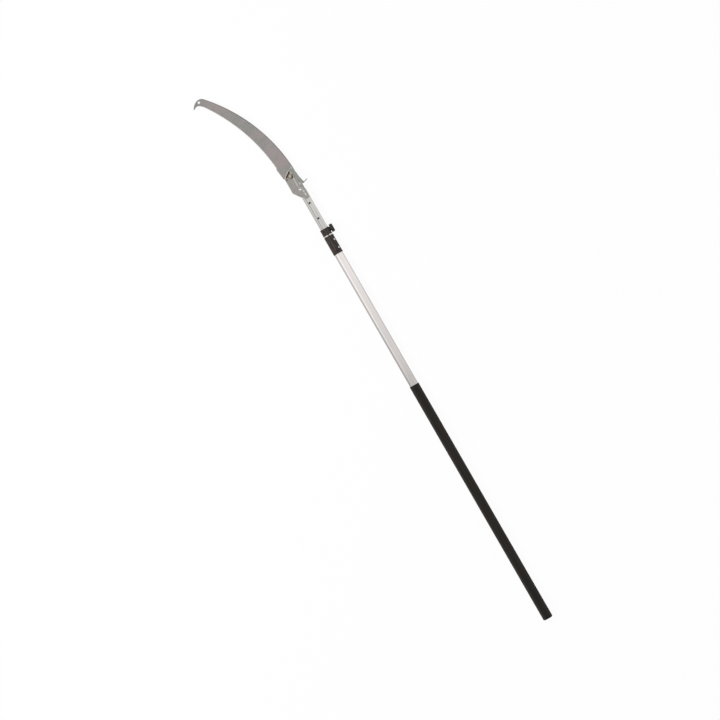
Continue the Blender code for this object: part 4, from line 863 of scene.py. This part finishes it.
def spine(half, root, crest, low, high):
    """The raised spine along a moulding's front face."""
    return slab("spine", [(-half, root), (half, root), (half, crest - 0.5), (half - 0.5, crest),
                          (-half + 0.5, crest), (-half, crest - 0.5)], low, high, "Y")


def make_housing():
    body = rounded_bar("housing", (33.2, 25.6, 9.7), 1389.3, 1453.7, 16)
    lips(body, (34.0, 26.4, 10.1), (1389, 1393), (1450, 1454))
    weld(body, spine(4.9, 10, 14.2, 1389.4, 1453.6),
         slab("turret", [(1395, 11), (1441, 11), (1438, 18), (1398, 18)], -5.3, 5.3, "X"))
    weld(body, *[at_corner(rod(4.2, 6, 10.6, 40), y) for y in HOUSING_SCREWS])
    soften(body, 0.45, 3, 40)
    weld(body, finger_ribs(16.4, range(1399, 1447, 6), 3.2))
    cut(body, rounded_bar("bore", GRIP_BORE, 1380, 1460, 16),
        block((-3.6, 1399.2, 9.9), (3.6, 1435.0, 20)),
        shift(rod(PIVOT_HOLE, -8, 8), (0, *LATCH_PIVOT), TO_RIGHT))
    cut(body, *[at_corner(rod(SCREW_HOLE, 0, 14), y) for y in HOUSING_SCREWS])
    dress(body, "handle", "black_nylon", "lock_housing", smooth=30)


def make_latch():
    y, z = LATCH_PIVOT
    outline = filleted([(-17.7, -1.4, 0.6), (5.9, -1.9, 1.0), (16.9, -0.2, 0.6), (16.9, 2.9, 0.8),
                        (12.5, 3.9, 1.5), (0, 3.1, 3.0), (-14.5, 2.8, 2.0), (-17.7, 1.6, 0.8)])
    button = slab("latch_key", shift_points(outline, y, z), -3.3, 3.3, "X")
    soften(button, 0.45, 3, 40)
    cut(button, gather([block((-4, y + u - 0.4, z + v), (4, y + u + 0.4, z + v + 2))
                        for u, v in ((5.6, 3.0), (7.5, 3.1), (9.4, 3.2), (11.3, 3.3))]),
        shift(rod(2.55, -4, 1.2), (0, LATCH_NOSE_Y, z)),
        shift(rod(PIVOT_HOLE, -8, 8), (0, y, z), TO_RIGHT))
    dress(button, "latch", "black_nylon", "latch_button", smooth=30)
    nose = turn("index_nose", [(0, 8.3), (1.6, 8.3), (2.15, 8.6), (2.4, 9.1), (2.4, 16.2),
                               (2.2, 16.4), (0, 16.4)])
    dress(shift(nose, (0, LATCH_NOSE_Y, 0)), "latch", "bright_steel", "latch_nose")
    pin = turn("rocker_pin", [(0, -5.3), (1.25, -5.3), (1.5, -5.05), (1.5, 5.05), (1.25, 5.3),
                              (0, 5.3)])
    dress(shift(pin, (0, y, z), TO_RIGHT), "handle", "bright_steel", "latch_pin")
    spring_y = y + 10.5
    spring = shift(wire("rocker_spring", coil(1.88, 11.6, 13.45, 1.75), 0.25), (0, spring_y, 0))
    dress(spring, "handle", "bright_steel", "latch_spring", smooth=60)
    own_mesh(spring)


def threaded(radius, low, high, pitch, depth):
    """The half profile of a turned thread between two heights."""
    profile = [(radius - depth, low), (radius, low + 0.5 * pitch)]
    height = low + 0.5 * pitch
    while height + 1.5 * pitch < high:
        profile += [(radius - depth, height + 0.5 * pitch), (radius, height + pitch)]
        height += pitch
    return profile


def pan_screw(name, radius, tip, seat):
    """A pan-head screw along Z with a cross recess and a thread."""
    head = 1.75 * radius
    crown = seat + 2.2
    screw = turn(name, [(0, tip)] + threaded(radius, tip, seat - 0.5, 0.8, 0.4) + [
        (radius, seat), (head - 0.15, seat), (head, seat + 0.15), (head, seat + 0.8),
        (0.94 * head, seat + 1.45), (0.78 * head, seat + 1.88), (0.45 * head, crown - 0.07),
        (0, crown)])
    wide, narrow = 0.62 * head, 0.16 * head
    cross = block((-wide, -narrow, crown - 1.1), (wide, narrow, crown + 1))
    weld(cross, block((-narrow, -wide, crown - 1.1), (narrow, wide, crown + 1)))
    cut(screw, cross)
    return screw


def make_housing_screws():
    lower = pan_screw("pan_screw_lower", 2.0, 6.9, 10.9)
    upper = copy_of(lower, "pan_screw_upper")
    for screw, name, y, cross in zip((lower, upper), ("lower", "upper"), HOUSING_SCREWS, (20, 65)):
        shift(screw, tip=(0, 0, math.radians(cross)))
        dress(at_corner(screw, y), "handle", "bright_steel", "housing_screw_" + name)


# ---------------------------------------------------------------- clamp collar and knob

def make_collar():
    body = rounded_bar("collar", (31.8, 25.6, 9.0), 1458.9, 1482.0, 16)
    lips(body, (32.4, 26.2, 9.3), (1458.6, 1461.6), (TUBE_END, MOUTH))
    boss = turn("boss", [(0, 12), (7.5, 12), (7.5, 17.6), (6.9, 18.2), (0, 18.2)], 64)
    weld(body, spine(4.9, 10, 14.0, 1459.0, 1481.9), shift(boss, (0, CLAMP_Y, 0), TO_RIGHT))
    soften(body, 0.4, 3, 40)
    weld(body, block((-0.8, 1454.3, 10.2), (4.4, 1462, 12.7)),
         finger_ribs(15.7, (1464.5, 1469.0), 3.0))
    cut(body, rounded_bar("bore", GRIP_BORE, 1450, 1490, 16),
        shift(rod(CLAMP_HOLE, 9, 20), (0, CLAMP_Y, 0), TO_RIGHT),
        shift(rod(BACK_HOLE, 9, 22), (0, BACK_SCREW_Y, 0), TO_BACK))
    dress(body, "handle", "black_nylon", "clamp_collar", smooth=30)
    screw = shift(pan_screw("back_screw", 1.75, 9.9, 13.4), (0, BACK_SCREW_Y, 0), TO_BACK)
    dress(screw, "handle", "bright_steel", "collar_screw")


def make_knob():
    """A fluted knob, drawn on its end and built up in steps of height and share of its width."""
    flutes, points, dip = 8, 120, 1.3
    outline = []
    for point in range(points):
        angle = 2 * math.pi * point / points
        radius = 14.3 - dip * max(0.0, math.cos(flutes * angle)) ** 2
        outline.append((radius * math.cos(angle), radius * math.sin(angle)))
    steps = ((0.0, 0.91), (0.25, 0.945), (0.8, 0.968), (3.0, 0.993), (6.2, 1.0), (8.2, 0.985),
             (9.4, 0.95), (10.2, 0.9), (10.7, 0.84), (10.9, 0.77))
    foot, first = steps[0][1], steps[1][0]
    knob = slab("fluted_knob", [(x * foot, y * foot) for x, y in outline], 0, first)
    edit(knob, "FACE", lambda middle, face: middle.z > 0.8 * first)
    for (below, narrow), (height, wide) in zip(steps, steps[1:]):
        if below:
            pull(z=height - below)
        bpy.ops.transform.resize(value=[wide / narrow] * 2 + [1],
                                 center_override=(0, 0, height * MM))
    let_go()
    dish = turn("dish", [(0, 10.6), (4.3, 10.6), (4.9, 10.05), (8.3, 10.05), (9.2, 12), (0, 12)],
                64)
    cut(knob, rod(3.15, -1, 7.5), dish)
    shift(knob, (18.5, CLAMP_Y, 0), TO_RIGHT)
    dress(knob, "knob", "black_nylon", "clamp_knob", material=KNOB_NYLON, smooth=30)


def make_clamp_parts():
    """The knob's stud, the brass insert that it turns in, and the pad that it presses."""
    stud = [(0, 15.5)] + threaded(3.0, 15.5, 24.6, 1.0, 0.5) + [(3.0, 25.0), (2.7, 25.7), (0, 25.7)]
    insert = [(3.15, 16.6), (3.85, 16.6), (4.05, 16.75), (4.05, 17.2), (3.85, 17.4), (4.05, 17.6),
              (4.05, 18.05), (3.9, 18.2), (3.35, 18.2), (3.15, 18.0), (3.15, 16.6)]
    pad = [(0, 13.8), (3.5, 13.8), (3.9, 14.1), (3.9, 14.9), (3.5, 15.2), (1.2, 15.2), (1.0, 15.0),
           (0, 15.0)]
    for name, profile, body, slot, node in (
            ("stud", stud, "knob", "bright_steel", "clamp_screw"),
            ("brass_insert", insert, "handle", "insert_brass", "screw_insert"),
            ("pressure_pad", pad, "shoe", "pale_nylon", "clamp_shoe")):
        dress(shift(turn(name, profile), (0, CLAMP_Y, 0), TO_RIGHT), body, slot, node)


# ---------------------------------------------------------------- blade

def notch(right):
    """The round-bottomed notch for the latch peg in a straight right side."""
    sides = [(right + 3, PEG[1] - PEG_ROOM), (right + 3, PEG[1] + PEG_ROOM)]
    return slab("notch", arc_points(PEG, PEG_ROOM, 90, 270, 18) + sides, -20, 20)


def tooth_gap(lean):
    """The wedge that a grinding wheel leaves, its gullet on the X axis at the edge's radius."""
    past = 1.0 + 1.5 / TOOTH_HEIGHT
    clear = EDGE_RADIUS - TOOTH_HEIGHT * past
    rise = TOOTH_PITCH * TOOTH_RAKE
    wedge = slab("wedge", [(EDGE_RADIUS, 0), (clear, rise * past),
                           (clear, (rise - TOOTH_PITCH) * past)], -2, 2)
    edit(wedge, "FACE", lambda middle, face: middle.z > 1.9)
    bpy.ops.transform.translate(value=(0, lean * 4 * MM, 0))
    let_go()
    return shift(wedge, (0, -lean * 2, 0))


def in_key_slot(middle, face):
    """The walls of the slanted slot."""
    away = from_segment(middle.x, middle.y, *KEY_SLOT)
    return away < KEY_HALF + 0.05 and abs(face.normal.z) < 0.5


def make_blade():
    centre, first, last = edge_arc()
    tips = EDGE_RADIUS - TOOTH_HEIGHT
    left, right, end = BOLT[0] - 13.2, BOLT[0] + 20.3, BOLT[1] - 34.5
    outline = filleted([(left, BOLT[1], 0), (left, end + 5.5, 1.5), (left + 5.5, end, 1.5),
                        (right - 5.5, end, 1.5), (right, end + 5.5, 1.5), (right, end + 10, 0)])
    outline.append((right, BACK_START[1] - 5.5))
    outline += arc_points(back_middle(), BACK_RADIUS, *BACK_ANGLES, 60)
    outline += bezier_points(at_tip(0, 0), at_tip(0, 16), at_tip(-19.3, 27.9),
                             at_tip(-43.7, 19.3), 30)[1:]
    mouth = (centre.x + tips * math.cos(last), centre.y + tips * math.sin(last))
    outline += bezier_points(at_tip(-42.6, 17.1), at_tip(-34.6, 15.2), at_tip(-23.0, 15.0),
                             mouth, 26)
    outline += arc_points(centre, tips, math.degrees(last), math.degrees(first), 80)[1:]
    outline += shift_points([(-29.4, 41.8), (-24.8, 3.8), (-21.8, 1.8), (-13.2, 0.5)], *BOLT)
    blade = slab("saw_blade", outline[1:], -BLADE_HALF, BLADE_HALF)
    cut(blade, notch(right))
    soften(blade, 0.35, 3, 60)
    count = round((last - first) * EDGE_RADIUS / TOOTH_PITCH)
    passes = ([], [])
    wheels = (tooth_gap(-0.36), tooth_gap(0.36))
    for index in range(1, count + 1):
        wedge = copy_of(wheels[index % 2], "wedge")
        shift(wedge, (centre.x, centre.y, 0), (0, 0, first + index * (last - first) / count))
        passes[index % 2].append(wedge)
    for wheel in wheels:
        bpy.data.objects.remove(wheel, do_unlink=True)
    cut(blade, *[gather(wedges) for wedges in passes])
    rim = turn("rim", [(0, -2), (4.55, -2), (3.5, -0.55), (3.5, 0.55), (4.55, 2), (0, 2)])
    cut(blade, shift(rod(BOLT_HOLE, -3, 3), (*BOLT, 0)),
        slab("key", stadium(*KEY_SLOT, KEY_HALF), -3, 3), shift(rim, (*TIP_HOLE, 0)))
    dress(blade, "extension", "saw_steel", "blade", smooth=25)
    # grease and painted shade on the slanted slot's walls
    stain(blade, GREASE_AND_SHADE, in_key_slot)


# ---------------------------------------------------------------- cheeks

def press_depth(y):
    """How far a cheek's inner face is from the blade's middle: wide on the pole, close above."""
    on_pole, on_blade = 9.9, 1.25
    share = min(max((y - HEAD - 0.5) / 21.0, 0.0), 1.0)
    return on_pole + (on_blade - on_pole) * share * share * (3 - 2 * share)


def key_slot_axes():
    """The ways along and up the slanted slot, and its middle."""
    first, last = Vector(KEY_SLOT[0]), Vector(KEY_SLOT[1])
    along = (last - first).normalized()
    return along, Vector((-along.y, along.x)), (first + last) / 2


def proud(x, y):
    """How far the front cheek's bead and the lip round its slanted slot stand up."""
    bead = min(max((BEAD_HALF - from_segment(x, y, *BEAD)) / 1.5, 0.0), 1.0)
    run = Vector(KEY_SLOT[1]) - Vector(KEY_SLOT[0])
    past = Vector((x, y)) - Vector(KEY_SLOT[0])
    share = past.dot(run) / run.length_squared
    away = from_segment(x, y, *KEY_SLOT) - KEY_HALF
    width = 3.6 - 2.0 * min(max(share - 0.5, 0.0), 0.5) if run.cross(past) > 0 else 1.1
    lip = min(max((width - away) / (0.6 * width), 0.0), 1.0)
    return bead * bead * (3 - 2 * bead) + LIP_HEIGHT * lip


def crease_front(cheek):
    """The creases that the front cheek's bead and its slot's lip need."""
    for away in (-2.6, -2.1, -1.6, -1.1, 0.0, 1.1, 1.6, 2.1, 2.6):
        crease(cheek, (BEAD[0][0] + away, 0), (1, 0))
    for past in (0.0, 1.1, 1.6, 2.1, 2.6):
        crease(cheek, (0, BEAD[0][1] - past), (0, 1))
        crease(cheek, (0, BEAD[1][1] + past), (0, 1))
    along, up, _ = key_slot_axes()
    for away in (-3.2, -2.6, -KEY_HALF, KEY_HALF, 3.5, 4.6, 5.7):
        crease(cheek, Vector(KEY_SLOT[0]) + up * away, up)
    for end, way in zip(KEY_SLOT, (-1, 1)):
        for past in (0.0, 1.2, KEY_HALF, 3.5, 5.7):
            crease(cheek, Vector(end) + along * past * way, along)


def make_cheek(name, node, side):
    """Blank a cheek from flat sheet, pierce it and press it; side is 1 in front, -1 behind."""
    front = side > 0
    corners = ((-6.4, -32, 2.0), (11.1, -32, 2.0), (11.7, -16, 0), (RIGHT_SIDE, 87, 1.5),
               (-6.6, 81.3, 3.0), (-32.2, 61.5, 2.5), (-32.2, 6.4, 3.0), (-13.5, -20, 3.0),
               (-6.4, -24.96, 1.0))
    cheek = slab(name, shift_points(filleted(corners), 0, HEAD), 0, SHEET)
    holes = [(BOLT, BOLT_HOLE), (HANG_HOLE, 3.2), (HEEL_RIVET, HEEL_HOLE)]
    holes += [(place, RIVET_HOLE) for place in POLE_RIVETS]
    if front:
        holes.append((LEVER_PIVOT, LEVER_HOLE))
        cut(cheek, notch(RIGHT_SIDE), slab("key", stadium(*KEY_SLOT, KEY_HALF), -1, 4))
    cut(cheek, gather([shift(rod(radius, -1, 4, 40), (*place, 0)) for place, radius in holes]))
    countersink = turn("countersink", [(0, 1.7), (3.1, 1.7), (4.1, 2.7), (0, 2.7)], 40)
    cut(cheek, shift(countersink, (*HANG_HOLE, 0)))
    soften(cheek, 0.3, 2, 60)
    for step in range(15):
        crease(cheek, (0, HEAD + 0.5 + 1.5 * step), (0, 1))
    if front:
        crease_front(cheek)
    for vert in cheek.data.vertices:
        x, y = vert.co.x / MM, vert.co.y / MM
        vert.co.z = side * (vert.co.z + (press_depth(y) + (proud(x, y) if front else 0.0)) * MM)
    close_up(cheek)
    dress(cheek, "extension", "saw_steel", node, material=PRESSED, smooth=30)
    # grease and painted shade: the slot's walls in front, and behind it the rear cheek's inner face
    # that shows through
    stain(cheek, GREASE_AND_SHADE, in_key_slot if front
          else lambda middle, face: middle.z > -1.3 and face.normal.z > 0.9)


def make_cheeks():
    make_cheek("front_plate", "front_cheek", 1)
    make_cheek("rear_plate", "rear_cheek", -1)


# ---------------------------------------------------------------- bolt, rivets and latch lever

def chamfered(name, low, high, both=False):
    """A hexagon with its corners turned down on its upper face, or on both."""
    top = [(7.8, high - 1.35), (5.9, high), (0, high)]
    foot = [(0, low), (5.9, low), (7.8, low + 1.35)] if both else [(0, low), (7.8, low)]
    head = slab(name, arc_points((0, 0), FLATS / math.sqrt(3), 0, 300, 5), low, high)
    combine(head, "INTERSECT", [turn("chamfer", foot + top, 72)])
    return head


def make_bolt():
    bolt = chamfered("hex_bolt", 5.85, 11.15)
    weld(bolt, turn("shank", [(0, -14.35)] + threaded(4.0, -14.35, 0.0, 1.25, 0.6)
                    + [(4.0, 0), (4.0, 8), (0, 8)]))
    dress(shift(bolt, (*BOLT, 0)), "extension", "yellow_zinc", "head_bolt")
    nut = chamfered("hex_nut", -12.35, -5.85, True)
    bore = turn("bore", [(0, -13), (4.9, -13), (BOLT_HOLE, -11.9), (BOLT_HOLE, -6.3), (4.9, -5),
                         (0, -5)])
    cut(nut, bore)
    dress(shift(nut, (*BOLT, 0)), "extension", "yellow_zinc", "head_nut")
    washer = [(BOLT_HOLE, 0.2), (4.35, 0), (7.8, 0), (8.0, 0.2), (8.0, 1.3), (7.7, 1.6),
              (4.35, 1.6), (BOLT_HOLE, 1.4), (BOLT_HOLE, 0.2)]
    for name, node, low in (("washer_front", "front_washer", 3.95),
                            ("washer_rear", "rear_washer", -5.55)):
        dress(shift(turn(name, washer, 64), (*BOLT, low)), "extension", "yellow_zinc", node)


def domed_rivet(name, radius, seat, height, place):
    """A rivet with the same low dome at both ends."""
    head = 1.7 * radius
    dome = [(radius, seat), (head - 0.2, seat), (head, seat + 0.2),
            (0.985 * head, seat + 0.3 * height), (0.88 * head, seat + 0.62 * height),
            (0.66 * head, seat + 0.86 * height), (0.35 * head, seat + 0.97 * height),
            (0, seat + height)]
    return shift(turn(name, [(r, -h) for r, h in reversed(dome)] + dome), (*place, 0))


def make_rivets():
    lower = domed_rivet("tongue_rivet_lower", 2.5, 12.6, 2.0, POLE_RIVETS[0])
    apart = POLE_RIVETS[1][1] - POLE_RIVETS[0][1]
    upper = shift(copy_of(lower, "tongue_rivet_upper"), (0, apart, 0))
    for rivet, name in ((lower, "lower"), (upper, "upper")):
        dress(rivet, "extension", "bright_steel", "pole_rivet_" + name)
    heel = domed_rivet("edge_rivet", 2.2, SHEET + 1.55, 1.6, HEEL_RIVET)
    dress(heel, "extension", "dark_steel", "heel_rivet")
    spacer = turn("edge_spacer", [(HEEL_HOLE, -0.95), (3.4, -0.95), (3.5, -0.85), (3.5, 0.85),
                                  (3.4, 0.95), (HEEL_HOLE, 0.95), (HEEL_HOLE, -0.95)])
    dress(shift(spacer, (*HEEL_RIVET, 0)), "extension", "dark_steel", "heel_spacer")
    eyelet = turn("tubular_rivet", [
        (0, 1.25), (2.6, 1.25), (2.8, 1.45), (2.8, 10.35), (3.7, 10.35), (3.9, 10.55),
        (3.88, 10.95), (3.65, 11.4), (3.2, 11.68), (2.75, 11.75), (2.35, 11.66), (2.05, 11.4),
        (1.9, 11.0), (1.9, 8.75), (0, 8.75)], 64)
    dress(shift(eyelet, (*LEVER_PIVOT, 0)), "extension", "bright_steel", "lever_rivet")
    # painted shade: the grease material darkens the tubular rivet's bore
    stain(eyelet, GREASE_AND_SHADE, lambda middle, face: 8.7 < middle.z < 11.3
          and (middle.xy - Vector(LEVER_PIVOT)).length < 2.0)


def make_lever():
    """The latch lever: a blanked strip with an eye, its foot bent up into a thumb tab."""
    sides = ((-6.15, -0.65, 0), (0.4, -17.5, 12), (2.8, -35.5, 20), (4.4, -52.0, 4),
             (12.95, -60.3, 2.5), (18.0, -58.2, 1.5), (14.8, -45.5, 12), (12.4, -32.5, 20),
             (10.6, -16.5, 12), (6.2, -0.4, 0))
    outline = arc_points((0, 0), 6.2, -4, 186, 30) + filleted(sides)[1:-1]
    lever = slab("lever_strip", shift_points(outline, *LEVER_PIVOT), LEVER_LOW, LEVER_TOP)
    cut(lever, shift(rod(LEVER_HOLE, 0, 12, 40), (*LEVER_PIVOT, 0)),
        shift(rod(2.45, 0, 12, 40), (*PEG, 0)))
    soften(lever, 0.3, 2, 50)
    foot, top = LEVER_LOW + 0.02, 13.95
    wall = filleted([(0.15, foot, 0.3), (19.8, foot, 1.5), (19.8, top, 3.0), (0.15, top, 2.0)])
    tab = slab("tab", wall, -1.0, 1.0, "Y")
    soften(tab, 0.35, 3, 50)
    root, bend = LEVER_LOW + 0.4, 1.6
    fillet = [(0.6, root), (2.6, root), (2.6, LEVER_TOP - 0.02)]
    fillet += arc_points((2.6, LEVER_TOP + bend), bend, 270, 180, 6)[1:] + [(0.6, LEVER_TOP + bend)]
    weld(tab, slab("gusset", fillet, 0.6, 4.6, "X"))
    weld(lever, shift(tab, (*TAB_ROOT, 0), (0, 0, TAB_ANGLE)))
    dress(lever, "lever", "saw_steel", "latch_lever", material=PRESSED, smooth=30)
    peg = turn("latch_stud", [
        (0, -0.95), (1.9, -0.95), (2.3, -0.55), (2.3, 6.25), (3.2, 6.25), (3.4, 6.45), (3.38, 6.9),
        (3.1, 7.3), (2.5, 7.55), (1.4, 7.63), (0, 7.65)])
    dress(shift(peg, (*PEG, 0)), "lever", "saw_steel", "latch_peg", material=PRESSED)


def make_lever_spring():
    """A torsion spring round the lever's rivet, one leg on the bolt and one on the lever."""
    radius, wire_radius, low, high = 3.9, 0.5, 6.75, 9.55
    to_bolt = Vector(BOLT) - Vector(LEVER_PIVOT)
    start_angle = math.atan2(to_bolt.y, to_bolt.x) + math.acos(radius / to_bolt.length)
    leg = to_bolt.length - FLATS / math.sqrt(3) - wire_radius - 0.3
    away = start_angle - math.pi / 2
    corner = Vector((radius * math.cos(start_angle), radius * math.sin(start_angle)))
    far = corner + leg * Vector((math.cos(away), math.sin(away)))
    tail = [(2.0, -6.8, high), (8.0, -12.0, low + 0.6 * (high - low)), (10.2, -17.5, low + 0.5),
            (11.8, -19.6, low), (12.0, -20.0, LEVER_LOW + 0.55)]
    turns = coil(radius, low, high, 1.75, start_angle)
    points = [(*far, low)] + turns[:-1] + eased([turns[-1]] + tail)
    spring = shift(wire("torsion_spring", points, wire_radius), (*LEVER_PIVOT, 0))
    dress(spring, "lever", "bright_steel", "lever_spring", smooth=60)


# ---------------------------------------------------------------- camera, floor and light

FLOOR_SIZE = 24.0
SHADOW_KEPT = 0.05                   # share of the floor's own shading that the camera sees
KEY_POWER = 100.0
KEY_SIZE = 1.2
KEY_PLACE = (-2.6, 2.45, 2.8)
ROOM_LEVEL = 0.55                    # what the room gives matt surfaces
HORIZON = 0.73                       # what metal sees at the horizon, on average
ROOM_SLOPE = (0.2, 0.2, 0.24)        # brighter to the right, towards the saw head and overhead
SOFTBOX = Vector((-0.34, 0.1, 0.93)).normalized()    # towards a soft bright patch overhead
SOFTBOX_LEVEL, SOFTBOX_FOCUS = 0.4, 40.0


def add_camera():
    """Straight down on the front, far off with a long lens, turned as the photograph is."""
    data = bpy.data.cameras.new("camera")
    data.lens = LENS
    data.sensor_width = SENSOR
    data.clip_end = 100.0
    camera = bpy.data.objects.new("camera", data)
    camera.location = (*AIM, PIXELS * MM_PER_PIXEL * MM * LENS / SENSOR)
    camera.rotation_euler = (0, 0, TURN)
    bpy.context.collection.objects.link(camera)
    bpy.context.scene.camera = camera


def add_floor():
    """A wide pale sheet just under the saw, which keeps the saw's shadow."""
    floor = begin("floor", bpy.ops.mesh.primitive_plane_add, size=FLOOR_SIZE,
                  location=(*AIM, cad_low.z - 0.2 * MM))
    material = bpy.data.materials.new("matt white board")
    add = emptied(material)
    rays = add("LightPath").node.outputs
    shiny = add("Math", rays["Is Camera Ray"], rays["Is Glossy Ray"], operation="MAXIMUM")
    plain = add("Math", shiny, rays["Is Transmission Ray"], operation="MAXIMUM")
    share = add("Math", plain, 1.0 - SHADOW_KEPT, operation="MULTIPLY")
    matt = add("BsdfDiffuse", Color="#F6F6F6")
    white = add("Emission", Color="#FFFFFF", Strength=1.0)
    add("OutputMaterial", Surface=add("MixShader", share, matt, white))
    floor.data.materials.append(material)


def add_light():
    """A soft lamp on the photograph's left, and a plain room, brighter towards its top."""
    bpy.context.scene.view_settings.view_transform = "Standard"
    data = bpy.data.lights.new("key", "AREA")
    data.energy = KEY_POWER
    data.size = KEY_SIZE
    key = bpy.data.objects.new("key", data)
    key.location = KEY_PLACE
    key.rotation_euler = (Vector((*AIM, 0)) - key.location).to_track_quat("-Z", "Y").to_euler()
    key.visible_glossy = False
    bpy.context.collection.objects.link(key)

    world = bpy.data.worlds.new("studio")
    bpy.context.scene.world = world
    add = emptied(world)
    rays = add("LightPath").node.outputs
    heading = add("TexCoord", output="Generated")
    slope = add("VectorMath", heading, ROOM_SLOPE, operation="DOT_PRODUCT")
    facing = add("VectorMath", heading, SOFTBOX, operation="DOT_PRODUCT")
    front = add("Math", facing, 0.0, operation="MAXIMUM")
    glow = add("Math", front, SOFTBOX_FOCUS, operation="POWER")
    soft = add("Math", glow, SOFTBOX_LEVEL, HORIZON, operation="MULTIPLY_ADD")
    room = add("Math", soft, slope, operation="ADD")
    level = add("Mix", Factor=rays["Is Diffuse Ray"], A=room, B=ROOM_LEVEL)
    seen = add("Mix", Factor=rays["Is Camera Ray"], A=level, B=1.0)
    add("OutputWorld", Surface=add("Background", Color="#FFFFFF", Strength=seen))


FINISHES = {
    "grip_rubber": grip_rubber(),
    "satin_aluminium": anodised_aluminium(),
    "bare_aluminium": mill_aluminium(),
    # Uncoloured moulded nylon: creamy, slightly see-through at its edges, with a fine moulded grain
    "pale_nylon": mottled("natural nylon", (1.2, 1.2, 1.2), 3.0, "#CFCBBF", "#DAD7CC", (0.38, 0.55),
                          0.02, IOR=1.53, Subsurface_Weight=0.15, Subsurface_Scale=2 * MM),
    "black_nylon": moulded_nylon("glass-filled nylon", "#15110F", "#413632"),
    # Bright zinc plate: light grey, fairly smooth, with a faint cloud
    "bright_steel": mottled("bright zinc plated steel", (2.5, 2.5, 2.5), 4.0, "#BAB8B4", "#CBC9C5",
                            (0.2, 0.38), Metallic=1.0),
    # Free-cutting brass from a lathe: yellow, with fine rings along its axis, which is X
    "insert_brass": mottled("turned brass", (0.3, 5, 5), 2.0, "#B59657", "#C4A868", 0.27, 0.01,
                            Metallic=1.0),
    "saw_steel": ground_saw_steel(),
    "yellow_zinc": yellow_zinc(),
    # Oil-blackened steel, worn: grey-brown, with a soft metal gloss and lighter rubbed spots
    "dark_steel": mottled("black oxide steel", (1.6, 1.6, 1.6), 4.0, "#7E736C", "#978D87",
                          (0.32, 0.5), full=0.7, Metallic=1.0),
}
KNOB_NYLON = moulded_nylon("nylon of the knob", "#171616", "#272626")
PRESSED = pressed_steel()
# The unpolished inside of a tube: grey oxide with smears of old grease
BORE = mottled("dull tube bore", (3, 12, 3), 4.0, "#C6C1BA", "#DDDAD4", 0.62, Metallic=0.6)
# Sap and old grease that has dried in a slot: brown, uneven, dull. In the slanted slot it is
# grease and painted shade; in the tubular rivet's bore it is painted shade.
GREASE_AND_SHADE = mottled("grease and painted shade", (1.5, 1.5, 1.5), 4.0, "#6A5A4A", "#8A7968", 0.7, 0.1,
                 Specular_IOR_Level=0.3)

add_camera()
for make in (make_outer_tube, make_inner_tube, make_grip, make_butt_cap, make_plugs, make_housing,
             make_latch, make_housing_screws, make_collar, make_knob, make_clamp_parts, make_blade,
             make_cheeks, make_bolt, make_rivets, make_lever, make_lever_spring):
    make()
add_floor()
add_light()
